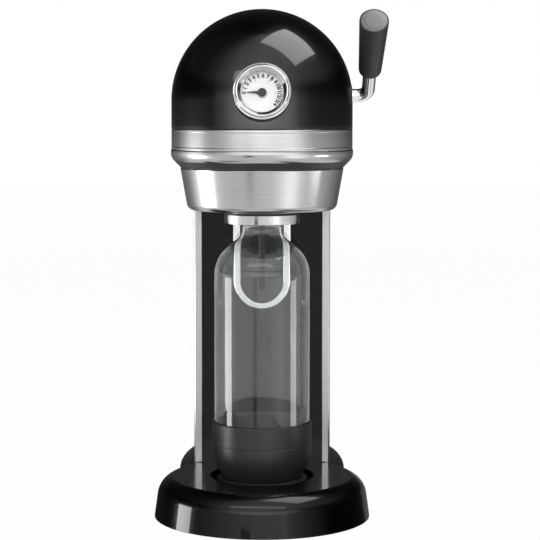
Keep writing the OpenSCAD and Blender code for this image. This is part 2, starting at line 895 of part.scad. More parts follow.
module collar_pin() {
    x = lug_x + lug_t + 1;
    color("#c0c2c4") x_rod(-x, x, hinge_y, hinge_z, hinge_pin_r);
}

// Outline with a round lower end, drawn in X and Z
module tongue(half) {
    circle(r = half);
    translate([-half, 0]) square([2 * half, bracket_top - bracket_arc_z]);
}

module strap(y, t) {
    translate([0, y + t, bracket_arc_z]) rotate([90, 0, 0]) linear_extrude(t) children();
}

module bottle_bracket() {
    inner = bracket_half - bracket_w;
    color("#d5d7d9") strap(bracket_y, bracket_t) difference() {
        tongue(bracket_half);
        tongue(inner);
    }
}

module bracket_panel() {
    color("#1f1f21") strap(bracket_y + 1.5, bracket_t - 2.5) tongue(bracket_half - bracket_w - 0.1);
}

module nozzle_head() {
    color("#2f3032") difference() {
        hole([0, 0], nozzle_r, collar_z1, nozzle_top);
        hole([0, 0], neck_r + gap, collar_z1 - over, seal_z + seal_t);
    }
}

module bottle_seal() {
    color("#7d2f2a") difference() {
        hole([0, 0], neck_r - gap, seal_z, seal_z + seal_t);
        hole([0, 0], neck_r / 2, seal_z - over, seal_z + seal_t + over);
    }
}

module carbonation_tube() {
    tip_z = bottle_z1 - tube_len;
    color("#d8dadc") difference() {
        hole([0, 0], tube_r, tip_z, seal_z + seal_t);
        hole([0, 0], tube_r - 1.4, tip_z - over, seal_z + seal_t - 2);
    }
}

module relief_valve() {
    color("#b8964c") hole([nozzle_r / 2, 0], 3, nozzle_top, nozzle_top + 7);
}

// Bottle: bowl foot, straight side, shoulder and neck, all inset by t
module bottle_profile(t, z0, z1) {
    bowl_r = bottle_r - t;
    foot_a = asin((z0 - bowl_z) / bowl_r);
    polygon(concat(
        [[0, z0]],
        arc(0, bowl_z, bowl_r, foot_a, 0),
        arc(shoulder_x, shoulder_z, shoulder_r - t, 0, tangent_a),
        arc(throat_x, neck_z, throat_r + t, 180 + tangent_a, 180),
        [[neck_r - t, z1], [0, z1]]));
}

module bottle() {
    foot_z = bottle_z0 + boot_t + 0.9;
    color("#cfd8dc", 0.35) rotate_extrude() difference() {
        bottle_profile(0, foot_z, bottle_z1);
        bottle_profile(bottle_t, foot_z + bottle_t, bottle_z1 + over);
    }
}

module bottle_boot() {
    rim_z = bottle_z0 + boot_h;
    color("#3a3a3d") rotate_extrude() difference() {
        intersection() {
            union() {
                translate([0, bowl_z]) circle(r = boot_r);
                translate([0, bowl_z]) square([boot_r, rim_z - bowl_z]);
            }
            translate([0, bottle_z0]) square([boot_r, boot_h]);
        }
        intersection() {
            union() {
                translate([0, bowl_z]) circle(r = boot_r - boot_t);
                translate([0, bowl_z]) square([boot_r - boot_t, boot_h]);
            }
            translate([0, bottle_z0 + boot_t]) square([boot_r, boot_h]);
        }
    }
}

base_shell();
base_plate();
rubber_feet();
base_screws();
bottle_mat();
tower_screws();
front_panel();
side_rail_left();
side_rail_right();
tower_frame();
cylinder_rest();
cone_skirt();
under_plate();
head_ring();
trim_band();
trim_strip();
dome_cover();
chassis();
chassis_screws();
gauge_bezel();
gauge_lens();
gauge_dial();
gauge_body();
gauge_pipe();
gauge_needle();
lever_bushes();
lever_grommet();
lever_spring();
lever_arm();
lever_grip();
lever_cam();
rocker_pin();
rocker();
valve_block();
valve_seal();
plunger_spring();
plunger();
gas_hose();
gas_cylinder();
cylinder_valve();
collar_pin();
collar();
collar_trim();
bottle_bracket();
bracket_panel();
nozzle_head();
bottle_seal();
carbonation_tube();
relief_valve();
bottle();
bottle_boot();
rear_cover();
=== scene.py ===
# %% [markdown]
# # A sparkling water maker
# The real object is a lacquered base, a tower with two brushed rails, and a domed head. A bottle hangs under the
# head in a hinged collar, and a lever on the right opens the gas valve inside. The CAD model gives the sizes and
# the joints. This script gives each piece the shape and finish that the eye sees, piece by piece.

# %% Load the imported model
from math import acos, asin, atan2, cos, degrees, pi, radians, sin, tan

import bmesh
import bpy
from mathutils import Matrix, Vector


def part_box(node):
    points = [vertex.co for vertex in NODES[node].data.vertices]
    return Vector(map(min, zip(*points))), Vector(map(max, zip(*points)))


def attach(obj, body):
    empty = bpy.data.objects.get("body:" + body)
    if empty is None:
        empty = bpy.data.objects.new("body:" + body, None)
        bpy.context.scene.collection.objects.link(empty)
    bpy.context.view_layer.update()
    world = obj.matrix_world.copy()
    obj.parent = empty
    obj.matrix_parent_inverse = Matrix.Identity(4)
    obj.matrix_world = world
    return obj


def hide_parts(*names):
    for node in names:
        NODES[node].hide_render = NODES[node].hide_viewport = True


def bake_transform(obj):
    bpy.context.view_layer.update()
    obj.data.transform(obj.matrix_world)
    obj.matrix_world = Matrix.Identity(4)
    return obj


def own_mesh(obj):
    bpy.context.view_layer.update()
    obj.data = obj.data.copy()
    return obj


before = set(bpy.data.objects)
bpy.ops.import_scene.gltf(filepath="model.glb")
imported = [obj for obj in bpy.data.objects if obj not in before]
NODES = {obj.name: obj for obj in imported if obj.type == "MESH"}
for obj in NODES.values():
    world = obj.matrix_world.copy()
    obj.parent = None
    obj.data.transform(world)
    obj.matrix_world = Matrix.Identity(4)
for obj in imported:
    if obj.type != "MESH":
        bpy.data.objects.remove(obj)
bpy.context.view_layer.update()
MM = 0.001

# %% [markdown]
# ## Camera
# The photograph is a product shot: a long lens at the height of the gauge, looking slightly down. A long lens
# keeps upright edges nearly parallel. The small shift puts the object where it stands in the frame without
# turning the camera further, which would make the rails lean.

# %% Camera
CAMERA_DISTANCE, CAMERA_HEIGHT, LOOK_DOWN = 1.62, 0.3755, 3.84
scene = bpy.context.scene


def put(name, data):
    """A new object in the scene."""
    obj = bpy.data.objects.new(name, data)
    scene.collection.objects.link(obj)
    return obj


camera_data = bpy.data.cameras.new("camera")
camera_data.lens = 120.5
camera_data.sensor_width = 36
camera_data.shift_x = 0.0148
camera_data.shift_y = -0.09
camera = put("camera", camera_data)
camera.location = (0, -CAMERA_DISTANCE, CAMERA_HEIGHT)
camera.rotation_euler = (radians(90 - LOOK_DOWN), 0, 0)
scene.camera = camera
scene.view_settings.view_transform = "Standard"
print("camera lens:", camera_data.lens, "mm")

# %% [markdown]
# ## Helpers for materials
# Colours are picked as sRGB hex values, as in any paint program, but shaders count in linear light, so one
# function converts them. A second function adds a node, sets it and links it. Two more start a finish: a plain
# one, or one with a grain, so that each group of finishes below is a short table.

# %% Colours and nodes
def linear(hex_colour):
    parts = [int(hex_colour[i:i + 2], 16) / 255 for i in (1, 3, 5)]
    return [c / 12.92 if c <= 0.04045 else ((c + 0.055) / 1.055) ** 2.4 for c in parts] + [1.0]


def add(tree, kind, settings=None, inputs=None, links=None):
    node = tree.nodes.new(kind)
    for key, value in (settings or {}).items():
        setattr(node, key, value)
    for key, value in (inputs or {}).items():
        node.inputs[key].default_value = value
    for key, socket in (links or {}).items():
        tree.links.new(socket, node.inputs[key])
    return node


print("white in linear light:", linear("#ffffff"))

# %% Finishes
FINISHES = {}


def new_finish(key, name, colour, **inputs):
    material = bpy.data.materials.new(name)
    material.use_nodes = True
    shader = material.node_tree.nodes["Principled BSDF"]
    shader.inputs["Base Color"].default_value = linear(colour)
    for socket, value in inputs.items():
        shader.inputs[socket.replace("_", " ")].default_value = value
    FINISHES[key] = material
    print("finish:", name)
    return material.node_tree, shader


def grained_finish(key, name, colour, size_mm, rough, bump_mm, tones, stretch=(1, 1, 1), detail=3.0, **inputs):
    """A finish with one noise pattern, which varies colour and roughness a little and lifts the surface."""
    tree, shader = new_finish(key, name, colour, **inputs)
    low, high = 0.3, 0.7  # most of the noise lies between these values
    place = add(tree, "ShaderNodeTexCoord")
    scale = [1 / (size_mm * MM * s) for s in stretch]
    mapped = add(tree, "ShaderNodeMapping", inputs={"Scale": scale}, links={"Vector": place.outputs["Object"]})
    noise = add(tree, "ShaderNodeTexNoise", inputs={"Scale": 1.0, "Detail": detail, "Roughness": 0.6},
                links={"Vector": mapped.outputs["Vector"]})
    tone = add(tree, "ShaderNodeValToRGB", links={"Fac": noise.outputs["Fac"]})
    for stop, shade, spot in zip(tone.color_ramp.elements, tones, (low, high)):
        stop.color, stop.position = linear(shade), spot
    tree.links.new(tone.outputs["Color"], shader.inputs["Base Color"])
    span = add(tree, "ShaderNodeMapRange", links={"Value": noise.outputs["Fac"]},
               inputs={"From Min": low, "From Max": high, "To Min": rough[0], "To Max": rough[1]})
    tree.links.new(span.outputs["Result"], shader.inputs["Roughness"])
    if bump_mm:
        bump = add(tree, "ShaderNodeBump", inputs={"Strength": 1.0, "Distance": bump_mm * MM},
                   links={"Height": noise.outputs["Fac"]})
        tree.links.new(bump.outputs["Normal"], shader.inputs["Normal"])


print("finishes so far:", len(FINISHES))

# %% [markdown]
# ## Lacquer
# Dome and base are die castings in a pearl black enamel: metal flakes under a clear coat. The flakes give a broad
# soft glow round the gauge, and the coat on top gives the sharp picture of the softbox. One Principled shader
# does both, with a rough dark metal below and a smooth coat above. Real flakes are 0.05 mm; they are drawn at 0.6
# mm to show.

# %% Pearl black enamel
FLAKE = 0.6
# The base's copy has darker flakes and a coat that mirrors less: a shaded copy of the same enamel, painted shade that
# keeps the base darker than the dome.
for key, name, tones, rough, coat_ior in (
        ("gloss_black", "pearl_black_enamel", ("#202022", "#262628"), (0.2, 0.27), 1.5),
        ("shaded_gloss_base", "pearl_black_base_enamel", ("#1c1c1d", "#222223"), (0.22, 0.3), 1.33)):
    grained_finish(key, name, tones[0], FLAKE, rough, 0.0, tones, detail=2.0,
                   Metallic=1.0, Coat_Weight=1.0, Coat_Roughness=0.03, Coat_IOR=coat_ior)

# %% [markdown]
# ## Plastics and rubber
# The front panel is gloss acrylic. The rear cover, the collar and the boot are moulded ABS with a fine spark
# texture of about 0.2 mm, which dulls the shine; it is drawn at 0.5 mm so that it shows. The grip is a soft
# elastomer. Seals, feet and mat are black rubber. A fine noise moves roughness and height together, because on a
# moulded skin the high spots are worn smoother.

# %% Plastics and rubber
PLASTICS = {  # name, colour, grain in mm, roughness, bump in mm, two tones
    "satin_dark": ("satin_black_abs", "#2a2a2c", 0.5, (0.36, 0.48), 0.02, ("#262628", "#303032")),
    "boot_grey": ("satin_grey_abs", "#252527", 0.6, (0.34, 0.44), 0.015, ("#222224", "#29292b")),
    "grip_grey": ("soft_touch_elastomer", "#171718", 0.7, (0.42, 0.55), 0.03, ("#141415", "#1b1b1c")),
    "black_rubber": ("black_rubber", "#19191a", 0.8, (0.6, 0.75), 0.04, ("#161617", "#202021")),
}
for key, values in PLASTICS.items():
    grained_finish(key, *values, IOR=1.5)
grained_finish("gloss_panel", "gloss_black_acrylic", "#08080a", 8.0, (0.05, 0.09), 0.0, ("#070708", "#0b0b0c"),
               IOR=1.3)

# %% [markdown]
# ## Metals
# Band, ring and cone are stainless steel, brushed round the axis with a belt: the scratches are long round the
# piece and about 0.05 mm apart up and down. They are drawn at 0.8 mm so that they show. Stretching the noise in X
# and Y gives such lines. The rails are brushed lengthwise, so their noise is stretched in Z. Chrome is smooth,
# with a trace of polish haze.

# %% Metals
ROUND, TURNED, LENGTHWISE, EVEN = (60, 60, 1), (30, 30, 1), (1, 1, 80), (1, 1, 1)
METALS = {  # as above, and how far the grain is stretched in X, Y and Z
    "brushed": ("brushed_stainless_steel", "#b6b7b8", 0.8, (0.16, 0.2), 0.0, ("#b3b4b5", "#babbbc"), ROUND),
    "polished": ("polished_stainless_steel", "#c6c7c8", 5.0, (0.1, 0.14), 0.0, ("#c3c4c5", "#c9cacb"), EVEN),
    # The grip's end cap is a lighter grey: painted light for its face lit from above.
    "cap_painted_light": ("satin_anodised_aluminium", "#6c6d6e", 3.0, (0.36, 0.42), 0.0, ("#696a6b", "#6f7071"), EVEN),
    "rail_alu": ("brushed_aluminium", "#b6b7b8", 0.6, (0.32, 0.42), 0.002, ("#b1b2b3", "#bcbdbe"), LENGTHWISE),
    "chrome": ("polished_chrome", "#eeeff0", 6.0, (0.05, 0.10), 0.0, ("#ebeced", "#f2f3f4"), EVEN),
    # The bezel's chrome is a darker copy of the polished chrome: painted shade that keeps it from burning out white
    # under the bright front light.
    "bezel": ("satin_chrome", "#b4b5b6", 6.0, (0.08, 0.12), 0.0, ("#b1b2b3", "#b7b8b9"), EVEN),
    "steel": ("zinc_plated_steel", "#a9abae", 1.5, (0.26, 0.42), 0.005, ("#9c9ea2", "#b4b6b8"), EVEN),
    "brass": ("turned_brass", "#b8964c", 0.6, (0.22, 0.36), 0.004, ("#ab8942", "#c2a158"), TURNED),
    "cylinder_grey": ("lacquered_aluminium", "#8b8f94", 1.2, (0.32, 0.42), 0.01, ("#84888d", "#92969a"), EVEN),
}
for key, values in METALS.items():
    grained_finish(key, *values, Metallic=1.0)

# %% [markdown]
# ## Paint, print and clear pieces
# The inner chassis is powder coated, with an orange-peel skin of about 1 mm. The dial is a white enamelled disc
# with black print. The bottle is blown PET: clear, with faint waves 15 mm long where the wall thickness varies.
# Its IOR is set to 1.47, a little under the real 1.57, because a thin wall mirrors less than two clean faces. The
# lens is coated glass, which hardly mirrors, so that the print under it stays black.

# %% Paint and print
PAINTS = {
    "chassis_grey": ("powder_coated_steel", "#77787a", 1.0, (0.4, 0.52), 0.03, ("#707173", "#7e7f81")),
    "dial_white": ("white_enamel", "#f0f0ee", 3.0, (0.38, 0.46), 0.0, ("#eeeeec", "#f3f3f1")),
    "print_black": ("black_print", "#0c0c0d", 0.8, (0.5, 0.6), 0.0, ("#0a0a0b", "#0f0f10")),
    "needle_grey": ("grey_needle_paint", "#2e2e30", 0.8, (0.35, 0.45), 0.0, ("#2a2a2c", "#333335")),
}
for key, values in PAINTS.items():
    grained_finish(key, *values, detail=2.0, IOR=1.5)

# %% Clear pieces
CLEAR = "#fbfcfc"
WAVE_LENGTH, WAVE_HEIGHT = 15.0, 0.05
new_finish("lens", "coated_glass", CLEAR, IOR=1.1, Transmission_Weight=1.0, Roughness=0.0)
tree, shader = new_finish("clear", "blown_pet", CLEAR, IOR=1.47, Transmission_Weight=1.0, Roughness=0.0)
place = add(tree, "ShaderNodeTexCoord")
wave = add(tree, "ShaderNodeTexNoise", inputs={"Scale": 1 / (WAVE_LENGTH * MM), "Detail": 1.0},
           links={"Vector": place.outputs["Object"]})
bump = add(tree, "ShaderNodeBump", inputs={"Strength": 1.0, "Distance": WAVE_HEIGHT * MM},
           links={"Height": wave.outputs["Fac"]})
tree.links.new(bump.outputs["Normal"], shader.inputs["Normal"])

# %% [markdown]
# ## Helpers for shapes
# Most pieces are turned or moulded: a profile goes round an axis, or round the head's plan, which is two half
# circles with straight sides between. So one function rounds the corners of a profile, one carries it through a
# list of stations, and one makes the mesh. Rounded edges matter: they catch the thin highlights that make an edge
# look real. Smooth shading would bend a flat face towards its rounded edges, so each corner's normal is weighted
# by face area.

# %% Profiles
def arc(cx, cy, r, a0, a1, n=12):
    return [(cx + r * cos(radians(a0 + (a1 - a0) * i / n)), cy + r * sin(radians(a0 + (a1 - a0) * i / n)))
            for i in range(n + 1)]


def rounded(corners, n=4, loop=True):
    """Outline from corners (x, y) or (x, y, radius), each rounded by its radius."""
    points = [(c[0], c[1]) for c in corners]
    out = []
    for i, corner in enumerate(corners):
        r = corner[2] if len(corner) > 2 else 0
        if not r or (not loop and i in (0, len(corners) - 1)):
            out.append(points[i])
            continue
        p = Vector(points[i])
        u = Vector(points[i - 1]) - p
        v = Vector(points[(i + 1) % len(points)]) - p
        half = acos(max(-1, min(1, u.normalized().dot(v.normalized())))) / 2
        reach = min(r / tan(half), 0.49 * u.length, 0.49 * v.length)
        r = reach * tan(half)
        centre = p + (u.normalized() + v.normalized()).normalized() * (r / sin(half))
        start, end = p + u.normalized() * reach - centre, p + v.normalized() * reach - centre
        a0 = atan2(start.y, start.x)
        turn = (atan2(end.y, end.x) - a0 + pi) % (2 * pi) - pi
        out += [(centre.x + r * cos(a0 + turn * k / n), centre.y + r * sin(a0 + turn * k / n)) for k in range(n + 1)]
    return out


print("points of a rounded square:", len(rounded([(0, 0, 1), (9, 0, 1), (9, 9, 1), (0, 9, 1)])))

# %% Rings and skins
def round_turn(n=128, x=0, y=0):
    return [(2 * pi * i / n, x, y) for i in range(n)]


def turned(profile, stations):
    """One ring of points for each station: the profile's (radius, height) at that angle and centre."""
    return [[(x + r * cos(a), y + r * sin(a), z) for r, z in profile] for a, x, y in stations]


def skin(rings, loop=True, turn=True, caps=False):
    """Points and faces between rings of equal length. loop closes each ring, turn joins the last to the first."""
    n = len(rings[0])
    points = [p for ring in rings for p in ring]
    faces = []
    for i in range(len(rings) if turn else len(rings) - 1):
        a, b = i * n, (i + 1) % len(rings) * n
        for k in range(n if loop else n - 1):
            m = (k + 1) % n
            faces.append((a + k, b + k, b + m, a + m))
    if caps:
        faces += [tuple(range(n)), tuple(range((len(rings) - 1) * n, len(rings) * n))]
    return points, faces


print("stations of a full turn:", len(round_turn()))

# %% Meshes and finished pieces
MERGE = 0.002 * MM  # points closer than this become one


def result_mesh(obj):
    """The mesh of an object after its modifiers."""
    return bpy.data.meshes.new_from_object(obj.evaluated_get(bpy.context.evaluated_depsgraph_get()))


def mesh_of(name, shells, place=None):
    """A mesh from shells of (points in mm, faces), with doubles merged and faces turned outwards."""
    bm = bmesh.new()
    for points, faces in shells:
        verts = [bm.verts.new((place @ Vector(p) if place else Vector(p)) * MM) for p in points]
        for face in faces:
            bm.faces.new([verts[k] for k in face])
    bmesh.ops.remove_doubles(bm, verts=bm.verts, dist=MERGE)
    bmesh.ops.delete(bm, geom=[e for e in bm.edges if not e.link_faces], context="EDGES")
    bmesh.ops.recalc_face_normals(bm, faces=bm.faces)
    mesh = bpy.data.meshes.new(name)
    bm.to_mesh(mesh)
    bm.free()
    return mesh


def finished(name, mesh, finish, body, nodes=(), angle=35):
    """Shading, finish and body for a mesh, and the nodes that it stands for."""
    mesh.materials.clear()
    mesh.materials.append(FINISHES[finish])
    mesh.shade_smooth()
    mesh.set_sharp_from_angle(angle=radians(angle))
    piece = put(name, mesh)
    even = piece.modifiers.new("even_shading", "WEIGHTED_NORMAL")
    even.keep_sharp, even.weight = True, 100
    piece.data = result_mesh(piece)
    piece.modifiers.clear()
    bpy.data.meshes.remove(mesh)
    if body:
        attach(piece, body)
    if nodes:
        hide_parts(*nodes)
    print(name, "faces:", len(piece.data.polygons), "finish:", finish)
    return piece


def make(name, shells, finish, body, nodes=(), angle=35, place=None):
    return finished(name, mesh_of(name, shells, place), finish, body, nodes, angle)


def merged_copy(node, edge_mm=0.0):
    """A copy of a node's mesh with its loose triangles merged, and its sharp edges rounded where asked."""
    bm = bmesh.new()
    bm.from_mesh(NODES[node].data)
    bmesh.ops.remove_doubles(bm, verts=bm.verts, dist=MERGE)
    if edge_mm:
        bmesh.ops.dissolve_limit(bm, angle_limit=radians(1), verts=bm.verts, edges=bm.edges)
        sharp = [e for e in bm.edges if len(e.link_faces) == 2 and e.calc_face_angle() > radians(40)]
        bmesh.ops.bevel(bm, geom=sharp, offset=edge_mm * MM, segments=2, profile=0.5, affect="EDGES",
                        clamp_overlap=True)
    mesh = bpy.data.meshes.new(node)
    bm.to_mesh(mesh)
    bm.free()
    return mesh


print("points merge within", MERGE, "m")

# %% [markdown]
# ## Helpers for Geometry Nodes
# What repeats or follows a rule, such as springs, screws, feet and the marks of the dial, is grown by a node tree
# with named sizes. The tree's result is kept as a plain mesh, because an export drops instances and live
# modifiers.

# %% Node trees
def node_tree(name, sizes, whole=()):
    tree = bpy.data.node_groups.new(name, "GeometryNodeTree")
    tree.interface.new_socket("Geometry", in_out="OUTPUT", socket_type="NodeSocketGeometry")
    tree.interface.new_socket("Geometry", in_out="INPUT", socket_type="NodeSocketGeometry")
    for size in sizes:
        tree.interface.new_socket(size, in_out="INPUT",
                                  socket_type="NodeSocketInt" if size in whole else "NodeSocketFloat")
    return tree, tree.nodes.new("NodeGroupInput")


def close_tree(tree, socket, finish):
    solid = add(tree, "GeometryNodeRealizeInstances", links={"Geometry": socket})
    smooth = add(tree, "GeometryNodeSetShadeSmooth", links={"Geometry": solid.outputs["Geometry"]})
    painted = add(tree, "GeometryNodeSetMaterial", inputs={"Material": FINISHES[finish]},
                  links={"Geometry": smooth.outputs["Geometry"]})
    add(tree, "NodeGroupOutput", links={"Geometry": painted.outputs["Geometry"]})


def grow(name, tree, sizes, data=None):
    """The mesh that the tree makes with these sizes, from nothing or from the points or curve in data."""
    holder = put(name, data or bpy.data.meshes.new(name))
    modifier = holder.modifiers.new("grow", "NODES")
    modifier.node_group = tree
    for item in tree.interface.items_tree:
        if item.in_out == "INPUT" and item.name in sizes:
            modifier[item.identifier] = sizes[item.name]
    mesh = result_mesh(holder)
    holder.modifiers.clear()
    bpy.data.objects.remove(holder)
    return mesh


print("node trees so far:", len(bpy.data.node_groups))

# %% Places for copies
def point_cloud(name, points):
    mesh = bpy.data.meshes.new(name)
    mesh.from_pydata([Vector(p) for p in points], [], [])
    return mesh


def centres(node):
    """The middle of each separate solid in a node, in metres."""
    bm = bmesh.new()
    bm.from_mesh(NODES[node].data)
    bmesh.ops.remove_doubles(bm, verts=bm.verts, dist=MERGE)
    left, found = set(bm.verts), []
    while left:
        island, edge = set(), [left.pop()]
        while edge:
            v = edge.pop()
            island.add(v)
            near = {e.other_vert(v) for e in v.link_edges} & left
            left -= near
            edge += near
        corners = [[f(v.co[k] for v in island) for k in range(3)] for f in (min, max)]
        found.append([(a + b) / 2 for a, b in zip(*corners)])
    bm.free()
    return sorted(found)


print("feet at:", [[round(c, 3) for c in p] for p in centres("rubber_feet")])

# %% [markdown]
# ## Base
# The base is a round casting, lower at the back where a lobe carries the rear cover. Its side leans in slightly,
# turns over a soft shoulder, and meets the flat top in a crease that shows as a thin bright line. A shallow round
# seat takes the bottle. Turning a profile gives an even mesh, which a mirror-like lacquer needs: uneven faces
# would show as dents.

# %% Base shell
BASE_PROFILE = ([(0, 6.2), (93.2, 6.2), (93.2, 0.5), (93.6, 0.3), (96.9, 0.3)] + arc(96.9, 0.7, 0.4, -90, 0, 4)
                + [(97.1, 2.0), (96.0, 10.0)] + arc(75.6, 18.5, 19, 8.07, 71.3, 32)
                + [(81.4, 36.5), (70, 36.5), (55, 36.5)]
                + [(47.5 - 6.5 * k / 12, 35.5 + cos(pi * k / 12)) for k in range(13)]
                + [(30, 34.5), (15, 34.5), (0, 34.5)])
LOBE_PROFILE = ([(0, 6.2), (76.4, 6.2), (76.4, 0.5), (76.8, 0.3), (79.6, 0.3)] + arc(79.6, 0.7, 0.4, -90, 0, 4)
                + [(80, 6)] + arc(76, 12, 4, 0, 90, 10) + [(60, 16), (30, 16), (0, 16)])
LOBE_Y = 79.3
make("base_casting", [skin(turned(BASE_PROFILE, round_turn(192)), loop=False),
                      skin(turned(LOBE_PROFILE, round_turn(128, y=LOBE_Y)), loop=False)],
     "shaded_gloss_base", "stand", ["base_shell"], angle=20)

# %% [markdown]
# ## Mat and feet
# A thin rubber mat lies in the seat, with rings moulded in it so that a wet boot doesn't stick. Six rubber feet
# stand under the base. One foot is turned as a profile, and a node tree puts it at each foot's place.

# %% Seat mat
MAT_R, MAT_Z0, MAT_Z1, RING_PITCH = 40.6, 34.55, 35.3, 3.2
mat_profile = [(0, MAT_Z0), (MAT_R, MAT_Z0), (MAT_R, MAT_Z1 - 0.4), (MAT_R - 0.4, MAT_Z1)]
r = MAT_R - 3
while r > 5:
    mat_profile += [(r, MAT_Z1), (r - 0.3, MAT_Z1 - 0.35), (r - 1.1, MAT_Z1 - 0.35), (r - 1.4, MAT_Z1)]
    r -= RING_PITCH
mat_profile.append((0, MAT_Z1))
make("seat_mat", [skin(turned(mat_profile, round_turn(96)), loop=False)], "black_rubber", "stand", ["bottle_mat"])

# %% A tree that puts one piece at many places
def placed_tree(name, template, finish):
    tree, given = node_tree(name, ["Turn"])
    seed = add(tree, "GeometryNodeObjectInfo", inputs={"Object": template})
    spin = add(tree, "ShaderNodeCombineXYZ", links={"Z": given.outputs["Turn"]})
    copies = add(tree, "GeometryNodeInstanceOnPoints",
                 links={"Points": given.outputs["Geometry"], "Instance": seed.outputs["Geometry"],
                        "Rotation": spin.outputs["Vector"]})
    close_tree(tree, copies.outputs["Instances"], finish)
    return tree


foot_profile = rounded([(0, -1.5), (7.6, -1.5, 0.8), (8.0, 1.5, 0.2), (0, 1.5)], loop=False)
foot = put("foot_template", mesh_of("foot", [skin(turned(foot_profile, round_turn(32)), loop=False)]))
mesh = grow("feet", placed_tree("place_feet", foot, "black_rubber"), {"Turn": 0.0},
            point_cloud("foot_places", centres("rubber_feet")))
bpy.data.objects.remove(foot)
finished("rubber_feet_turned", mesh, "black_rubber", "stand", ["rubber_feet"])

# %% [markdown]
# ## Screws
# The plate under the base, the tower and the chassis are held by pan-head screws with a cross recess. The head is
# turned, and the cross is sunk into it by pulling the middle down along two bars. A tree places the screws.

# %% Screws
HEAD_R, HEAD_H, CROSS_R, CROSS_HALF, CROSS_DEPTH = 3.0, 1.8, 2.0, 0.45, 0.9
SHANK_R, SHANK_LEN, SCREW_SIDES, CROSS_TURN = 1.5, 9.0, 48, 0.4


def screw_shell(up):
    """A pan head with a cross recess over a plain shank. Its seat is at z = 0; up says where the shank goes."""
    profile = [(HEAD_R * (k / 7), -HEAD_H + (0.5 * (k / 7) ** 4 if k < 7 else 0.6)) for k in range(8)]
    profile += [(HEAD_R, -0.1), (HEAD_R, 0), (SHANK_R, 0)]
    profile += [(SHANK_R, SHANK_LEN - 0.8), (0.6, SHANK_LEN), (0, SHANK_LEN)]
    flip = 1 if up else -1
    rings = []
    for r, z in profile:
        ring = []
        for i in range(SCREW_SIDES):
            a = 2 * pi * i / SCREW_SIDES
            x, y = r * cos(a), r * sin(a)
            in_cross = z < -1 and r < CROSS_R and min(abs(x), abs(y)) < CROSS_HALF
            ring.append((x, y, (z + CROSS_DEPTH if in_cross else z) * flip))
        rings.append(ring)
    return skin(rings, turn=False)


for label, up in (("base", True), ("tower", True), ("chassis", False)):
    node = label + "_screws"
    seed = put(label + "_screw_template", mesh_of(label, [screw_shell(up)]))
    lo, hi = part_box(node)
    seat = lo[2] + HEAD_H * MM if up else hi[2] - HEAD_H * MM
    places = [(x, y, seat) for x, y, z in centres(node)]
    mesh = grow(label, placed_tree("place_" + label, seed, "steel"), {"Turn": CROSS_TURN},
                point_cloud(label, places))
    bpy.data.objects.remove(seed)
    finished(label + "_cross_screws", mesh, "steel", "stand", [node])

# %% [markdown]
# ## Tower
# Two extruded aluminium rails stand at the sides of a gloss panel, and a satin cover closes the back, with a
# bun-shaped foot that spreads on the lobe. These are simple solids with the right shape in the CAD model, so each
# is a merged copy of its node. The rails get their edges rounded, as a file leaves them.

# %% Rails, panel and rear cover
for side in ("left", "right"):
    finished("rail_" + side, merged_copy("side_rail_" + side, 0.5), "rail_alu", "stand", ["side_rail_" + side])
finished("panel_front", merged_copy("front_panel"), "gloss_panel", "stand", ["front_panel"])
finished("cover_rear", merged_copy("rear_cover"), "boot_grey", "rear_cover", ["rear_cover"], angle=30)

# %% [markdown]
# ## Head
# Seen from above, the head is two half circles with straight sides: the front half carries the gauge, the back
# half covers the gas cylinder. So every profile of the head goes round the same plan. The steel band sits between
# dome and ring, and a raised strip lies across its front. The ring rolls under in a soft curve, and the cone
# hangs below it.

# %% Stations round the head
HEAD_LEN = 62.0


def head_turn(n=96):
    front = [(pi + pi * i / n, 0, 0) for i in range(n + 1)]
    rear = [(pi * i / n, 0, HEAD_LEN) for i in range(n + 1)]
    return front + rear


print("stations:", len(head_turn()))

# %% Band, strip and ring
band = rounded([(78, 331.6, 0.2), (81, 331.6, 0.5), (81, 349.9, 0.5), (78, 349.9, 0.2)])
make("band_steel", [skin(turned(band, head_turn()))], "brushed", "stand", ["trim_band"])

STRIP_A = 70
strip = rounded([(81.05, 331.6), (81.9, 331.6, 0.35), (81.9, 334.1, 0.35), (81.35, 334.25, 0.15),
                 (81.35, 347.25, 0.15), (81.9, 347.4, 0.35), (81.9, 349.9, 0.35), (81.05, 349.9)])
strip_turn = [(radians(-90 - STRIP_A + 2 * STRIP_A * i / 120), 0, 0) for i in range(121)]
make("strip_steel", [skin(turned(strip, strip_turn), turn=False, caps=True)], "brushed", "stand", ["trim_strip"])

ring = ([(66, 315.1), (72.6, 315.1)] + arc(72.6, 315.5, 0.4, -90, 0, 3) + [(73.05, 315.9)]
        + arc(71.6, 328.5, 10, -45, 0, 16) + [(81.6, 330.7)] + arc(80.8, 330.7, 0.8, 0, 90, 5)
        + [(77.7, 331.5), (77.7, 337.5), (75.0, 337.5), (75, 324.5), (71.3, 321.1), (66, 321.1)])
RING_SHADE_Z = 321.6
ring_mesh = make("ring_steel", [skin(turned(ring, head_turn()))], "brushed", "stand", ["head_ring"]).data
# Painted shade: faces low on the ring's roll take the dark satin finish, which stands in for the dark reflection
# under the ring.
ring_mesh.materials.append(FINISHES["satin_dark"])
for polygon in ring_mesh.polygons:
    polygon.material_index = int(polygon.center.z < RING_SHADE_Z * MM)

# %% Cone
CONE_BACK = 56.7
cone = ([(71.0, 314.9), (72.4, 314.9)] + arc(72.4, 314.3, 0.6, 90, 0, 4) + arc(61, 284, 6.5, -10, -90, 14)
        + [(60.9, 279.5)] + arc(61, 284, 4.5, -90, -10, 10))
front = [(pi + pi * i / 128, 0, 0) for i in range(129)]
cone_turn = [(pi, 0, CONE_BACK)] + front + [(0, 0, CONE_BACK)]
make("cone_steel", [skin(turned(cone, cone_turn), turn=False, caps=True)], "brushed", "stand", ["cone_skirt"])

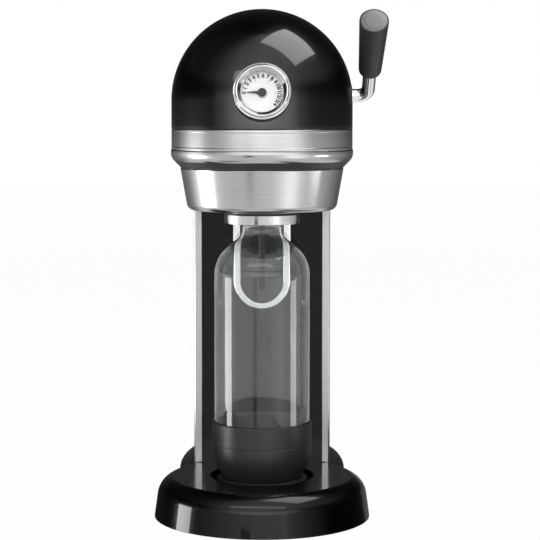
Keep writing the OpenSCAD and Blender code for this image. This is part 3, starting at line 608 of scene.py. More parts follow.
# %% [markdown]
# ## Dome
# The dome is a quarter ball at the front that runs back as a half round. It has a hole for the gauge and one for
# the lever's shaft. Cutting holes in a mesh leaves uneven faces, and a lacquer would show them, so after the cut
# each corner takes its normal from the true ball and not from the faces around it.

# %% Gauge and lever frames
GAUGE_TILT = radians(15)
GAUGE = Matrix.Translation((0, -82, 383.2)) @ Matrix.Rotation(radians(90) - GAUGE_TILT, 4, "X")
LEVER_PIVOT = Vector((0, -18, 379.5))
LEVER_LEAN = radians(55)
LEVER_WAY = Vector((0, -sin(LEVER_LEAN), cos(LEVER_LEAN)))
print("gauge looks along", [round(v, 3) for v in GAUGE.to_3x3() @ Vector((0, 0, 1))])

# %% Dome cover
DOME_R, DOME_WALL, DOME_Z, GAUGE_HOLE, LEVER_HOLE = 81.0, 3.0, 375.5, 25.15, 8.0


def cutter(name, radius, start, end):
    """A rod of a radius from start to end, in mm, for cutting a hole."""
    way = end - start
    bm = bmesh.new()
    bmesh.ops.create_cone(bm, cap_ends=True, segments=96, radius1=radius * MM, radius2=radius * MM,
                          depth=way.length * MM)
    turn = way.to_track_quat("Z", "Y").to_matrix().to_4x4()
    bm.transform(Matrix.Translation((start + way / 2) * MM) @ turn)
    mesh = bpy.data.meshes.new(name)
    bm.to_mesh(mesh)
    bm.free()
    return put(name, mesh)


inner = DOME_R - DOME_WALL
dome = (arc(0, DOME_Z, inner, 90, 0, 48) + [(inner, 350.5), (inner + 0.4, 350.1), (DOME_R - 0.6, 350.1)]
        + arc(DOME_R - 0.6, 350.7, 0.6, -90, 0, 4) + [(DOME_R, 357.5), (DOME_R, 366.5)]
        + arc(0, DOME_Z, DOME_R, 0, 90, 64))
holder = put("dome_blank", mesh_of("dome", [skin(turned(dome, head_turn(128)), loop=False)]))
cuts = [cutter("gauge_cut", GAUGE_HOLE, GAUGE @ Vector((0, 0, -30)), GAUGE @ Vector((0, 0, 30))),
        cutter("lever_cut", LEVER_HOLE, LEVER_PIVOT + Vector((60, 0, 0)), LEVER_PIVOT + Vector((100, 0, 0)))]
for cut in cuts:
    modifier = holder.modifiers.new(cut.name, "BOOLEAN")
    modifier.object, modifier.operation, modifier.solver = cut, "DIFFERENCE", "EXACT"
mesh = result_mesh(holder)
for leftover in cuts + [holder]:
    bpy.data.objects.remove(leftover)
dome_piece = finished("dome_lacquered", mesh, "gloss_black", "stand", ["dome_cover"], angle=30)

# %% True normals of the dome
NEAR_BALL, SAME_WAY = 0.15, 0.9  # mm off the ball, and the cosine of how far a face may lean from it
mesh = dome_piece.data
normals = []
for polygon in mesh.polygons:
    for k in polygon.loop_indices:
        p = mesh.vertices[mesh.loops[k].vertex_index].co
        out = p - Vector((0, min(max(p.y, 0), HEAD_LEN * MM), min(p.z, DOME_Z * MM)))
        near = min(abs(out.length - DOME_R * MM), abs(out.length - inner * MM)) < NEAR_BALL * MM
        way = out.normalized() if out.length > 1e-6 else polygon.normal
        facing = way.dot(polygon.normal)
        normals.append((way if facing > 0 else -way) if near and abs(facing) > SAME_WAY else polygon.normal)
mesh.normals_split_custom_set(normals)
print("dome corners given a normal:", len(normals))

# %% [markdown]
# ## Gauge
# A chromed bezel holds a glass lens over a white dial. The bezel has a thin outer rim, a groove, and a rolled
# ring that slopes inwards; the slope mirrors the studio as bright and dark crescents. Everything is turned about
# the axis, which looks 15 degrees up, so each profile is drawn flat and then placed.

# %% Bezel, lens and dial
bezel = ([(19.6, -11.5), (24.8, -11.5), (25, -11.2), (25, -0.2)] + arc(24.5, -0.2, 0.5, 0, 90, 4)
         + arc(23.9, 0.3, 0.2, 90, 180, 3) + [(23.6, -0.2), (23.4, -0.2)] + arc(21.8, 0.2, 1.6, 0, 131.5, 15)
         + [(18.5, -0.585), (18.3, -0.8), (18.3, -6.4), (19.6, -6.6)])
make("gauge_bezel_chrome", [skin(turned(bezel, round_turn(128)))], "bezel", "stand", ["gauge_bezel"],
     place=GAUGE)
LENS_R, LENS_RISE = 18.25, 0.7
lens = ([(0, -1.6), (LENS_R, -1.6), (LENS_R, -1.0)]
        + [(LENS_R * (1 - k / 10), -1.0 + LENS_RISE * (1 - (1 - k / 10) ** 2)) for k in range(1, 11)])
lens_piece = make("gauge_lens_glass", [skin(turned(lens, round_turn(96)), loop=False)], "lens", "stand",
                  ["gauge_lens"], place=GAUGE)
lens_piece.visible_shadow = lens_piece.visible_diffuse = False
dial = rounded([(0, -7.0), (19.3, -7.0, 0.1), (19.3, -6.0, 0.1), (0, -6.0)], loop=False)
make("gauge_dial_enamel", [skin(turned(dial, round_turn(96)), loop=False)], "dial_white", "stand", ["gauge_dial"],
     place=GAUGE)

# %% [markdown]
# The scale runs clockwise from low on the left to low on the right. Its marks repeat at equal angles, so a node
# tree makes them: a line of points is bent to the arc by each point's index, and a thin bar stands on each point.
# Plain numbers stand inside the marks, and four dots stand further in.

# %% A tree for the dial's marks
PRINT_THICK = 0.06


def mark_tree(name):
    tree, given = node_tree(name, ["Count", "Radius", "From", "Step", "Length", "Width"], whole=("Count",))
    line = add(tree, "GeometryNodeMeshLine", links={"Count": given.outputs["Count"]})
    index = add(tree, "GeometryNodeInputIndex")
    turn = add(tree, "ShaderNodeMath", {"operation": "MULTIPLY_ADD"},
               links={0: index.outputs["Index"], 1: given.outputs["Step"], 2: given.outputs["From"]})
    east = add(tree, "ShaderNodeMath", {"operation": "COSINE"}, links={0: turn.outputs[0]})
    north = add(tree, "ShaderNodeMath", {"operation": "SINE"}, links={0: turn.outputs[0]})
    way = add(tree, "ShaderNodeCombineXYZ", links={"X": east.outputs[0], "Y": north.outputs[0]})
    spot = add(tree, "ShaderNodeVectorMath", {"operation": "SCALE"},
               links={0: way.outputs["Vector"], "Scale": given.outputs["Radius"]})
    bent = add(tree, "GeometryNodeSetPosition",
               links={"Geometry": line.outputs["Mesh"], "Position": spot.outputs["Vector"]})
    size = add(tree, "ShaderNodeCombineXYZ", inputs={"Z": PRINT_THICK * MM},
               links={"X": given.outputs["Length"], "Y": given.outputs["Width"]})
    bar = add(tree, "GeometryNodeMeshCube", links={"Size": size.outputs["Vector"]})
    spin = add(tree, "ShaderNodeCombineXYZ", links={"Z": turn.outputs[0]})
    marks = add(tree, "GeometryNodeInstanceOnPoints",
                links={"Points": bent.outputs["Geometry"], "Instance": bar.outputs["Mesh"],
                       "Rotation": spin.outputs["Vector"]})
    close_tree(tree, marks.outputs["Instances"], "print_black")
    return tree


marks = mark_tree("dial_marks")
print("nodes in the tree:", len(marks.nodes))

# %% Marks of the dial
def on_gauge(mesh, height):
    """Lifts a flat mesh, drawn in metres, to a height in mm over the gauge's frame."""
    place = GAUGE.copy()
    place.translation = place.translation * MM
    mesh.transform(place @ Matrix.Translation((0, 0, height * MM)))


SCALE_FROM, SCALE_TO, DIAL_FACE = 180, -38, -5.97
NUMBERS, STEPS_PER_NUMBER = 14, 4
STEP = (SCALE_TO - SCALE_FROM) / (NUMBERS * STEPS_PER_NUMBER)
MARKS = {  # count, radius, length and width in mm, step in degrees
    "fine": (NUMBERS * STEPS_PER_NUMBER + 1, 17.3, 0.7, 0.2, STEP),
    "main": (NUMBERS + 1, 17.2, 1.0, 0.4, STEP * STEPS_PER_NUMBER),
    "dot": (4, 11.9, 0.8, 0.8, -60),
}
for label, (count, radius, length, width, turn) in MARKS.items():
    sizes = {"Count": count, "Radius": radius * MM, "From": radians(SCALE_FROM), "Step": radians(turn),
             "Length": length * MM, "Width": width * MM}
    mesh = grow("dial_" + label, marks, sizes)
    on_gauge(mesh, DIAL_FACE)
    finished("dial_marks_" + label, mesh, "print_black", "stand")

# %% Numbers of the dial
NUMBER_R, NUMBER_SIZE, NUMBER_BOLD = 14.9, 4.6, 0.2
letters = bmesh.new()
for k in range(NUMBERS + 1):
    curve = bpy.data.curves.new("number", "FONT")
    curve.body, curve.size, curve.align_x, curve.align_y = str(k), NUMBER_SIZE * MM, "CENTER", "CENTER"
    curve.extrude, curve.offset = PRINT_THICK / 2 * MM, NUMBER_BOLD * MM
    holder = put("number", curve)
    mesh = result_mesh(holder)
    a = radians(SCALE_FROM + STEP * STEPS_PER_NUMBER * k)
    spot = Matrix.Translation((NUMBER_R * MM * cos(a), NUMBER_R * MM * sin(a), 0))
    mesh.transform(spot @ Matrix.Rotation(a - pi / 2, 4, "Z"))
    letters.from_mesh(mesh)
    bpy.data.objects.remove(holder)
mesh = bpy.data.meshes.new("dial_numbers")
letters.to_mesh(mesh)
letters.free()
on_gauge(mesh, DIAL_FACE)
finished("dial_numbers", mesh, "print_black", "stand")

# %% Needle
hub = rounded([(0, -5.4), (3.7, -5.4, 0.2), (3.7, -3.4, 0.5), (0, -3.2)], loop=False)
washer = rounded([(4.0, -5.95), (5.3, -5.95, 0.1), (5.3, -5.6, 0.2), (4.0, -5.6, 0.2)])
pointer = [[(x, y, z) for y, z in ((-w, -4.6), (w, -4.6), (w, -3.9), (0, -3.75), (-w, -3.9))]
           for x, w in ((2.2, 1.5), (-2.0, 1.45), (-8.0, 0.75), (-12.6, 0.35))]
make("needle_painted", [skin(turned(hub, round_turn(48)), loop=False), skin(pointer, turn=False, caps=True)],
     "needle_grey", "needle", ["gauge_needle"], place=GAUGE)
make("hub_washer", [skin(turned(washer, round_turn(64)))], "chrome", "stand", place=GAUGE)

# %% [markdown]
# ## Lever
# The lever is a chromed bar: it leaves the dome, bends in an elbow and runs up into a soft grip. A tube follows a
# path, so a node tree sweeps a circle along a curve. The grip is a turned shape, thicker towards its end, with a
# flat end face. That face is a lighter satin grey cap, painted light that stands in for the face lit from above.
# The dome doesn't mirror the lever: a streak there would look like a scratch.

# %% Lever arm
ARM_R, ELBOW_R, GRIP_X, ARM_START, ARM_END = 5.8, 10.0, 93.5, 29.2, 72.5
path = [LEVER_PIVOT + Vector((ARM_START, 0, 0)), LEVER_PIVOT + Vector((GRIP_X - ELBOW_R, 0, 0))]
turn_centre = LEVER_PIVOT + Vector((GRIP_X - ELBOW_R, 0, 0)) + LEVER_WAY * ELBOW_R
for i in range(1, 17):
    a = radians(90 * i / 16)
    path.append(turn_centre + Vector((sin(a) * ELBOW_R, 0, 0)) - LEVER_WAY * (cos(a) * ELBOW_R))
path.append(LEVER_PIVOT + Vector((GRIP_X, 0, 0)) + LEVER_WAY * ARM_END)
curve = bpy.data.curves.new("arm_path", "CURVE")
curve.dimensions = "3D"
line = curve.splines.new("POLY")
line.points.add(len(path) - 1)
for point, spot in zip(line.points, path):
    point.co = (*(spot * MM), 1)

tree, given = node_tree("swept_bar", ["Radius", "Sides"], whole=("Sides",))
circle = add(tree, "GeometryNodeCurvePrimitiveCircle",
             links={"Radius": given.outputs["Radius"], "Resolution": given.outputs["Sides"]})
bar = add(tree, "GeometryNodeCurveToMesh", inputs={"Fill Caps": True},
          links={"Curve": given.outputs["Geometry"], "Profile Curve": circle.outputs["Curve"]})
close_tree(tree, bar.outputs["Mesh"], "chrome")
mesh = grow("arm", tree, {"Radius": ARM_R * MM, "Sides": 48}, curve)
arm = finished("arm_chromed", mesh, "chrome", "lever", ["lever_arm"])

# %% Lever grip
along_grip = LEVER_WAY.to_track_quat("Z", "Y").to_matrix().to_4x4()
LEVER = Matrix.Translation(LEVER_PIVOT + Vector((GRIP_X, 0, 0))) @ along_grip
grip = ([(0, 73.5), (5.9, 73.5), (5.9, 37.0), (6.6, 37.0)] + arc(6.9, 40.0, 3.0, -90, -5, 8)
        + [(9.95 + 2.45 * t, 40.5 + 66.5 * t) for t in (0.1, 0.3, 0.5, 0.7, 0.9)]
        + rounded([(12.3, 104), (12.4, 108.2, 0.8), (11.3, 108.4, 0.2), (11.3, 107.4), (0, 107.4)], n=6, loop=False))
grip_piece = make("grip_soft", [skin(turned(grip, round_turn(96)), loop=False)], "grip_grey", "lever", ["lever_grip"],
                  place=LEVER)
# Painted light: the end face is a lighter satin grey cap, which stands in for the face lit from above.
cap = rounded([(0, 107.4), (11.2, 107.4), (11.2, 108.4, 0.3), (7, 108.75, 6), (0, 108.9)], n=6, loop=False)
cap_piece = make("grip_cap_satin", [skin(turned(cap, round_turn(96)), loop=False)], "cap_painted_light", "lever",
                 place=LEVER)
for piece in (arm, grip_piece, cap_piece):
    piece.visible_glossy = False

# %% [markdown]
# ## Springs and hose
# The lever and the plunger are pushed back by wound springs, which the CAD model holds as plain sleeves. A spring
# follows a rule exactly, so a tree winds a spiral and sweeps the wire along it. The gas hose is a merged copy of its
# node.

# %% Springs
tree, given = node_tree("coil_spring", ["Radius", "Wire", "Height", "Turns"])
spiral = add(tree, "GeometryNodeCurveSpiral", inputs={"Resolution": 32},
             links={"Rotations": given.outputs["Turns"], "Start Radius": given.outputs["Radius"],
                    "End Radius": given.outputs["Radius"], "Height": given.outputs["Height"]})
wire = add(tree, "GeometryNodeCurvePrimitiveCircle", inputs={"Resolution": 10},
           links={"Radius": given.outputs["Wire"]})
coil = add(tree, "GeometryNodeCurveToMesh", inputs={"Fill Caps": True},
           links={"Curve": spiral.outputs["Curve"], "Profile Curve": wire.outputs["Curve"]})
close_tree(tree, coil.outputs["Mesh"], "steel")

PLUNGER_COIL_R, PLUNGER_WIRE, LEVER_COIL_R, LEVER_WIRE = 5.6, 0.55, 7.5, 0.8  # wire sizes are radii
lo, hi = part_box("plunger_spring")
mesh = grow("plunger_coil", tree, {"Radius": PLUNGER_COIL_R * MM, "Wire": PLUNGER_WIRE * MM,
                                   "Height": hi[2] - lo[2] - 2 * PLUNGER_WIRE * MM, "Turns": 3.0})
mesh.transform(Matrix.Translation(((lo[0] + hi[0]) / 2, (lo[1] + hi[1]) / 2, lo[2] + PLUNGER_WIRE * MM)))
spring = finished("plunger_coil", mesh, "steel", "stand", ["plunger_spring"])
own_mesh(spring)

lo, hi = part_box("lever_spring")
mesh = grow("lever_coil", tree, {"Radius": LEVER_COIL_R * MM, "Wire": LEVER_WIRE * MM,
                                 "Height": hi[0] - lo[0] - 2 * LEVER_WIRE * MM, "Turns": 6.0})
spot = Matrix.Translation((lo[0] + LEVER_WIRE * MM, LEVER_PIVOT.y * MM, LEVER_PIVOT.z * MM))
mesh.transform(spot @ Matrix.Rotation(radians(90), 4, "Y"))
finished("lever_coil", mesh, "steel", "stand", ["lever_spring"])

# %% Gas hose
hose = finished("gas_hose_rubber", merged_copy("gas_hose"), "black_rubber", None, ["gas_hose"])
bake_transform(hose)

# %% [markdown]
# ## Collar and bracket
# The collar grips the bottle's neck and tilts with it. A steel trim with rounded lower corners lies round its
# front. A chromed U bracket hangs from it behind the bottle, with a dark tongue inside. The bracket is one strap
# bent in a U, so a rounded section follows that path.

# %% Collar and its trim
finished("collar_abs", merged_copy("collar", 0.6), "satin_dark", "collar", ["collar"])

TRIM_A, TRIM_R0, TRIM_R1, TRIM_Z0, TRIM_Z1, TRIM_CORNER = 60, 34.05, 35.2, 265.5, 273.8, 3.0
trim_rings = []
for i in range(97):
    a = -90 - TRIM_A + 2 * TRIM_A * i / 96
    to_end = radians(TRIM_A - abs(a + 90)) * TRIM_R1
    inset = max(0, TRIM_CORNER - to_end)
    low = TRIM_Z0 + TRIM_CORNER - (TRIM_CORNER ** 2 - inset ** 2) ** 0.5
    section = rounded([(TRIM_R0, low), (TRIM_R1, low, 0.35), (TRIM_R1, TRIM_Z1, 0.35), (TRIM_R0, TRIM_Z1)])
    trim_rings.append([(r * cos(radians(a)), r * sin(radians(a)), z) for r, z in section])
make("collar_trim_steel", [skin(trim_rings, turn=False, caps=True)], "polished", "collar", ["collar_trim"])

# %% Bracket and tongue
U_HALF, U_STRAP, U_Z, U_TOP, U_Y0, U_Y1 = 26.6, 6.6, 208.6, 267.3, 46.0, 51.0
mid = U_HALF - U_STRAP / 2
section = rounded([(-U_STRAP / 2, U_Y0, 1.4), (U_STRAP / 2, U_Y0, 1.4),
                   (U_STRAP / 2, U_Y1, 0.5), (-U_STRAP / 2, U_Y1, 0.5)])
u_rings = [[(mid + s, y, z) for s, y in section] for z in (U_TOP, 250, 230, U_Z)]
for i in range(1, 48):
    a = -pi * i / 48
    u_rings.append([((mid + s) * cos(a), y, U_Z + (mid + s) * sin(a)) for s, y in section])
u_rings += [[(-mid - s, y, z) for s, y in section] for z in (U_Z, 230, 250, U_TOP)]
make("bracket_chromed", [skin(u_rings, turn=False, caps=True)], "chrome", "collar", ["bottle_bracket"])

TONGUE = 19.8
outline = [(TONGUE, U_TOP)] + arc(0, U_Z, TONGUE, 0, -180, 40) + [(-TONGUE, U_TOP)]
tongue_rings = []
for inset, y in ((0.6, 47.6), (0.2, 47.8), (0, 48.2), (0, 49.6), (0.4, 50.0)):
    k = (TONGUE - inset) / TONGUE
    tongue_rings.append([(x * k, y, U_Z + (z - U_Z) * k if z < U_Z else z) for x, z in outline])
make("tongue_abs", [skin(tongue_rings, turn=False, caps=True)], "satin_dark", "collar", ["bracket_panel"])

# %% [markdown]
# ## Bottle
# The bottle is blown PET with a round bowl, a straight body, a domed shoulder and a threaded neck. Clear pieces
# need both walls, or light bends as in a solid rod. So the profile goes up the outside and down the inside. Two
# fill lines are printed round the front, and the boot is a separate moulded cup with a seam where the bowl
# starts. Bottle and lens cast no shadow, because clear walls pass light on.

# %% Bottle
BODY_R, NECK_R, FOOT_R, BOWL_Z, RIM_Z, WALL = 43, 18.3, 26.3, 64.6, 295.5, 0.7


def wall(offset):
    """The bottle's profile from the foot to the throat, moved inwards by offset."""
    tangent = 60.9  # degrees at which the shoulder meets the throat
    bowl = arc(0, BOWL_Z, BODY_R - offset, -degrees(asin((FOOT_R - offset) / (BODY_R - offset))), 0, 20)
    body = [(BODY_R - offset, z) for z in (100, 140, 180)]
    shoulder = arc(8, 218.5, 35 - offset, 0, tangent, 24)
    throat = arc(30.3, 259.9, 12 + offset, 180 + tangent, 180, 14)
    return [(0, bowl[0][1])] + bowl + body + shoulder + throat


neck = [p for z in (262.2, 265.4) for p in arc(NECK_R, z, 0.9, -90, 90, 8)] + [(NECK_R, 267.5)]
for z in (273.5, 278.5, 283.5, 288.5):
    neck += [(NECK_R, z), (19.1, z + 0.9), (19.1, z + 1.5), (NECK_R, z + 2.4)]
rim = arc(NECK_R - WALL / 2, RIM_Z - WALL / 2, WALL / 2, 0, 180, 6)
inside = wall(WALL) + [(NECK_R - WALL, 275), (NECK_R - WALL, 285)]
bottle = make("bottle_pet", [skin(turned(wall(0) + neck + rim + inside[::-1], round_turn(160)), loop=False)],
              "clear", "bottle", ["bottle"], angle=50)
bottle.visible_shadow = bottle.visible_diffuse = False

# %% Fill lines
LINE_R, LINE_THICK, LINE_HALF = 43.03, 0.05, 0.14
line_turn = [(radians(-111 + 42 * i / 32), 0, 0) for i in range(33)]
lines = []
for z in (220.1, 225.5):
    section = [(LINE_R, z - LINE_HALF), (LINE_R + LINE_THICK, z - LINE_HALF),
               (LINE_R + LINE_THICK, z + LINE_HALF), (LINE_R, z + LINE_HALF)]
    lines.append(skin(turned(section, line_turn), turn=False, caps=True))
make("fill_lines", lines, "print_black", "bottle")

# %% Boot
BOOT_R, BOOT_INNER = 44.8, 43.25
boot = (arc(0, BOWL_Z, BOOT_R, -40, 0, 24) + [(BOOT_R, 66.4), (44.5, 66.7), (44.5, 67.3)]
        + [(BOOT_R, z) for z in (67.6, 76, 85.7)] + arc(44.2, 85.9, 0.6, 0, 180, 6)
        + [(43.3, 85.5), (BOOT_INNER, 70), (BOOT_INNER, 65)] + arc(0, BOWL_Z, BOOT_INNER, 0, -39, 14))
boot = [(0, boot[0][1])] + boot + [(0, boot[-1][1])]
make("boot_abs", [skin(turned(boot, round_turn(160)), loop=False)], "boot_grey", "bottle", ["bottle_boot"], angle=30)

# %% [markdown]
# ## Inner pieces
# Valve, rocker, chassis and gas cylinder are hidden inside. Their CAD shapes are right, so the nodes stay and
# only take the finish of their real material.

# %% Finishes of the nodes that stay
INNER = {
    "satin_dark": ["base_plate", "cylinder_rest", "under_plate", "nozzle_head", "carbonation_tube"],
    "chassis_grey": ["tower_frame", "chassis", "gauge_body"],
    "brass": ["gauge_pipe", "lever_bushes", "cylinder_valve", "relief_valve"],
    "black_rubber": ["lever_grommet", "valve_seal", "bottle_seal"],
    "steel": ["lever_cam", "rocker_pin", "rocker", "plunger", "collar_pin"],
    "cylinder_grey": ["valve_block", "gas_cylinder"],
}
for finish, nodes in INNER.items():
    for node in nodes:
        for slot in NODES[node].material_slots:
            slot.material = FINISHES[finish]
print("inner nodes:", sum(len(nodes) for nodes in INNER.values()))

# %% [markdown]
# ## Studio
# A gloss black dome shows whatever stands round it, so the studio is built as a photographer would: a tent of
# soft light, brighter at the left and at the right front low down, and in front high up, dark behind so that the
# edges of the dome stay black; one softbox over the right shoulder and one high in front; two low strips at the
# sides for the long highlights on the bottle; and dark cards, one far in front for the thin dark line on the
# steel and three close to the base, which keep its sides black. The background is white to the camera and through
# glass, and the floor nearly so, without more light on the object. Metal mirrors the tent in place of the floor.

# %% White background
WHITE = linear("#ffffff")
FILL_LEVEL = 0.35


def bare_tree(owner):
    """The empty node tree of a material or a world."""
    owner.use_nodes = True
    owner.node_tree.nodes.clear()
    return owner.node_tree


scene.world = bpy.data.worlds.new("studio")
tree = bare_tree(scene.world)
ray = add(tree, "ShaderNodeLightPath")
either = add(tree, "ShaderNodeMath", {"operation": "MAXIMUM"},
             links={0: ray.outputs["Is Camera Ray"], 1: ray.outputs["Is Glossy Ray"]})
seen = add(tree, "ShaderNodeMath", {"operation": "MAXIMUM"},
           links={0: either.outputs[0], 1: ray.outputs["Is Transmission Ray"]})
fill = add(tree, "ShaderNodeBackground", inputs={"Color": WHITE, "Strength": FILL_LEVEL})
white = add(tree, "ShaderNodeBackground", inputs={"Color": WHITE, "Strength": 1.0})
mix = add(tree, "ShaderNodeMixShader", links={"Fac": seen.outputs[0], 1: fill.outputs[0], 2: white.outputs[0]})
add(tree, "ShaderNodeOutputWorld", links={"Surface": mix.outputs[0]})
print("background ready, fill light:", FILL_LEVEL)

# %% Floor
FLOOR_HALF, WHITE_TO_CAMERA, WHITE_THROUGH_GLASS = 6, 0.975, 0.6


def stage_piece(name, points, faces, material):
    mesh = bpy.data.meshes.new(name)
    mesh.from_pydata(points, [], faces)
    mesh.materials.append(material)
    obj = put(name, mesh)
    return obj


floor_mat = bpy.data.materials.new("pale_floor")
tree = bare_tree(floor_mat)
ray = add(tree, "ShaderNodeLightPath")
matt = add(tree, "ShaderNodeBsdfDiffuse", inputs={"Color": linear("#f2f2f2")})
glow = add(tree, "ShaderNodeEmission", inputs={"Color": WHITE, "Strength": 1.0})
through = add(tree, "ShaderNodeMath", {"operation": "MULTIPLY"}, inputs={1: WHITE_THROUGH_GLASS},
              links={0: ray.outputs["Is Transmission Ray"]})
part = add(tree, "ShaderNodeMath", {"operation": "MULTIPLY_ADD"}, inputs={1: WHITE_TO_CAMERA},
           links={0: ray.outputs["Is Camera Ray"], 2: through.outputs[0]})
mix = add(tree, "ShaderNodeMixShader", links={"Fac": part.outputs[0], 1: matt.outputs[0], 2: glow.outputs[0]})
add(tree, "ShaderNodeOutputMaterial", links={"Surface": mix.outputs[0]})
floor = stage_piece("floor", [(x * FLOOR_HALF, y * FLOOR_HALF, 0) for x, y in ((-1, -1), (1, -1), (1, 1), (-1, 1))],
                    [(0, 1, 2, 3)], floor_mat)
floor.visible_glossy = False
print("floor ready, white to the camera:", WHITE_TO_CAMERA)

# %% [markdown]
# The tent is a large ball that glows inwards. Its light is written as tables: for three bands of height, how
# bright it is at each angle from the front, with minus to the left. A fourth table dims it towards the top. A
# ramp node takes values up to 1, so the levels are divided by one top level, which the glow then gives back.

# %% Light levels of the tent
TENT_R, TENT_LEVEL, UNDER_LEVEL = 3.0, 3.2, 0.9
LOW = [(-180, 0.3), (-160, 0.15), (-140, 0.25), (-126, 0.45), (-110, 1.3), (-98, 2.4), (-86, 2.4), (-74, 1.3),
       (-62, 0.95), (-40, 0.85), (-12, 0.88), (15, 1.0), (28, 1.35), (38, 1.8), (48, 1.8), (58, 1.2), (70, 0.95),
       (85, 0.85), (100, 0.65), (120, 0.38), (145, 0.15), (160, 0.12), (180, 0.3)]
HIGH = [(-180, 0.06), (-140, 0.015), (-90, 0.03), (-65, 0.1), (-48, 0.8), (-32, 2.1), (0, 2.9), (32, 1.9), (48, 0.5),
        (65, 0.15), (90, 0.08), (120, 0.02), (140, 0.015), (180, 0.06)]
TOP = [(-180, 0.06), (-140, 0.05), (-90, 0.2), (-70, 0.55), (-56, 1.25), (-41, 2.1), (0, 2.9), (38, 2.3), (54, 1.6),
       (68, 1.15), (84, 0.9), (100, 0.45), (120, 0.12), (140, 0.05), (180, 0.06)]
UPWARD = [(0.0, 1.0), (0.2, 1.0), (0.35, 0.5), (0.59, 0.38), (0.8, 0.38), (0.9, 0.35), (0.96, 0.3), (1.0, 0.25)]
BANDS = {"edge": (0.296, 0.312), "wide": (1.0, 1.7), "under": (-1.0, -1.6)}  # heights in metres where bands blend
tables = {key: [((a + 180) / 360, v / TENT_LEVEL) for a, v in table]
          for key, table in (("low", LOW), ("high", HIGH), ("top", TOP))}
tables["upward"] = UPWARD
print("tent tables:", {key: len(table) for key, table in tables.items()})

# %% Material of the tent
tent_mat = bpy.data.materials.new("light_tent")
tree = bare_tree(tent_mat)
place = add(tree, "ShaderNodeTexCoord")
split = add(tree, "ShaderNodeSeparateXYZ", links={"Vector": place.outputs["Object"]})
front = add(tree, "ShaderNodeMath", {"operation": "MULTIPLY"}, inputs={1: -1.0}, links={0: split.outputs["Y"]})
turn = add(tree, "ShaderNodeMath", {"operation": "ARCTAN2"}, links={0: split.outputs["X"], 1: front.outputs[0]})
share = add(tree, "ShaderNodeMath", {"operation": "MULTIPLY_ADD"}, inputs={1: 0.5 / pi, 2: 0.5},
            links={0: turn.outputs[0]})
rise = add(tree, "ShaderNodeMath", {"operation": "MULTIPLY"}, inputs={1: 1 / TENT_R}, links={0: split.outputs["Z"]})

levels, blends = {}, {}
for key, stops in tables.items():
    source = rise if key == "upward" else share
    node = add(tree, "ShaderNodeValToRGB", links={"Fac": source.outputs[0]})
    node.color_ramp.elements.remove(node.color_ramp.elements[0])
    for k, (spot, value) in enumerate(stops):
        stop = node.color_ramp.elements.new(spot) if k else node.color_ramp.elements[0]
        stop.position, stop.color = spot, (value, value, value, 1)
    levels[key] = node.outputs["Color"]
for key, (start, end) in BANDS.items():
    node = add(tree, "ShaderNodeMapRange", {"interpolation_type": "SMOOTHSTEP"},
               inputs={"From Min": start, "From Max": end}, links={"Value": split.outputs["Z"]})
    blends[key] = node.outputs["Result"]
upper = add(tree, "ShaderNodeMix", {"data_type": "RGBA"},
            links={0: blends["wide"], 6: levels["high"], 7: levels["top"]})
tone = add(tree, "ShaderNodeMix", {"data_type": "RGBA"},
           links={0: blends["edge"], 6: levels["low"], 7: upper.outputs[2]})
base = add(tree, "ShaderNodeMix", {"data_type": "RGBA"}, inputs={7: [UNDER_LEVEL / TENT_LEVEL] * 3 + [1.0]},
           links={0: blends["under"], 6: tone.outputs[2]})
level = add(tree, "ShaderNodeMix", {"data_type": "RGBA", "blend_type": "MULTIPLY"}, inputs={0: 1.0},
            links={6: base.outputs[2], 7: levels["upward"]})
light = add(tree, "ShaderNodeEmission", inputs={"Strength": TENT_LEVEL}, links={"Color": level.outputs[2]})
add(tree, "ShaderNodeOutputMaterial", links={"Surface": light.outputs[0]})
print("nodes in the tent's material:", len(tree.nodes))

# %% Light tent
bm = bmesh.new()
bmesh.ops.create_uvsphere(bm, u_segments=72, v_segments=36, radius=TENT_R)
bmesh.ops.reverse_faces(bm, faces=bm.faces)
tent_points = [tuple(v.co) for v in bm.verts]
tent_faces = [tuple(v.index for v in f.verts) for f in bm.faces]
bm.free()
tent = stage_piece("light_tent", tent_points, tent_faces, tent_mat)
tent.visible_camera = tent.visible_transmission = tent.visible_shadow = False
print("tent radius:", TENT_R, "m")

# %% Cards that only reflections show
FADE_FRONT, FADE_BACK = -0.28, -0.1


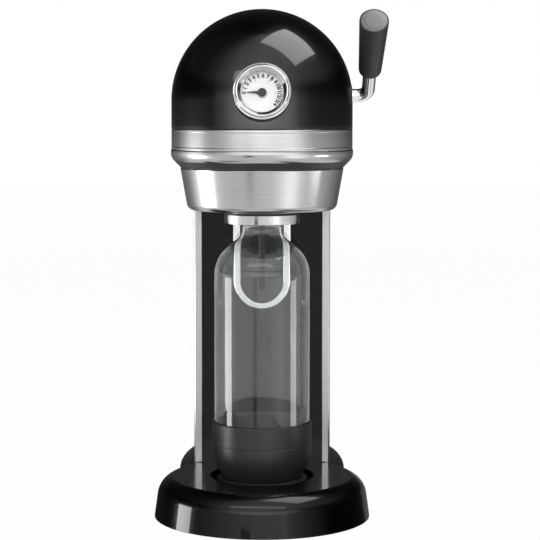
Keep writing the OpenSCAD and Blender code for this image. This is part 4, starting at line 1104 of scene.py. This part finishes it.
def lit_panel(name, corners, strength, front_strength=None):
    """A card seen only in reflections. With front_strength it fades from that, at its front end, to strength."""
    material = bpy.data.materials.new(name)
    tree = bare_tree(material)
    light = add(tree, "ShaderNodeEmission", inputs={"Color": WHITE, "Strength": strength})
    if front_strength is not None:
        place = add(tree, "ShaderNodeTexCoord")
        split = add(tree, "ShaderNodeSeparateXYZ", links={"Vector": place.outputs["Object"]})
        fade = add(tree, "ShaderNodeMapRange", links={"Value": split.outputs["Y"]},
                   inputs={"From Min": FADE_FRONT, "From Max": FADE_BACK,
                           "To Min": front_strength, "To Max": strength})
        tree.links.new(fade.outputs["Result"], light.inputs["Strength"])
    add(tree, "ShaderNodeOutputMaterial", links={"Surface": light.outputs[0]})
    panel = stage_piece(name, corners, [(0, 1, 2, 3)], material)
    panel.visible_camera = panel.visible_transmission = panel.visible_shadow = False
    return panel


def strip_corners(a0, a1, distance, z0, z1):
    """An upright card between two angles from the front, at a distance and between two heights in metres."""
    ends = [(distance * sin(radians(a)), -distance * cos(radians(a))) for a in (a0, a1)]
    return [(*ends[0], z0), (*ends[1], z0), (*ends[1], z1), (*ends[0], z1)]


print("card helpers ready")

# %% Softboxes, strips and dark cards
SOFTBOX_DISTANCE, DARK, FLAG_FRONT = 1.3, 0.02, 0.9
dome_middle = Vector((0, 0, DOME_Z * MM))
softbox_ways = [(-0.03, -0.26, 0.96), (0.3, 0.255, 0.918), (0.75, 0.11, 0.65), (0.6, -0.497, 0.618)]
lit_panel("softbox_over", [tuple(dome_middle + Vector(w).normalized() * SOFTBOX_DISTANCE) for w in softbox_ways], 4.2)
CARDS = {  # two angles from the front, distance and two heights in metres; then strength
    "softbox_front": ((-38, 28, 1.6, 1.03, 1.44), 3.2),
    "strip_left": ((-98, -77, 1.1, -0.11, 0.135), 11.0),
    "strip_right": ((72, 90, 2.9, -0.45, -0.06), 7.0),
    "dark_card": ((-21.5, -12, 2.9, -1.0, 0.12), DARK),
}
for name, (corners, strength) in CARDS.items():
    lit_panel(name, strip_corners(*corners), strength)
for name, a0, a1 in (("flag_left", -165, -88), ("flag_front_left", -70, -20), ("flag_right", 22, 125)):
    flag = lit_panel(name, strip_corners(a0, a1, 0.3, -0.25, 0.055), DARK, FLAG_FRONT)
    flag.visible_diffuse = False
print("cards:", 1 + len(CARDS) + 3)
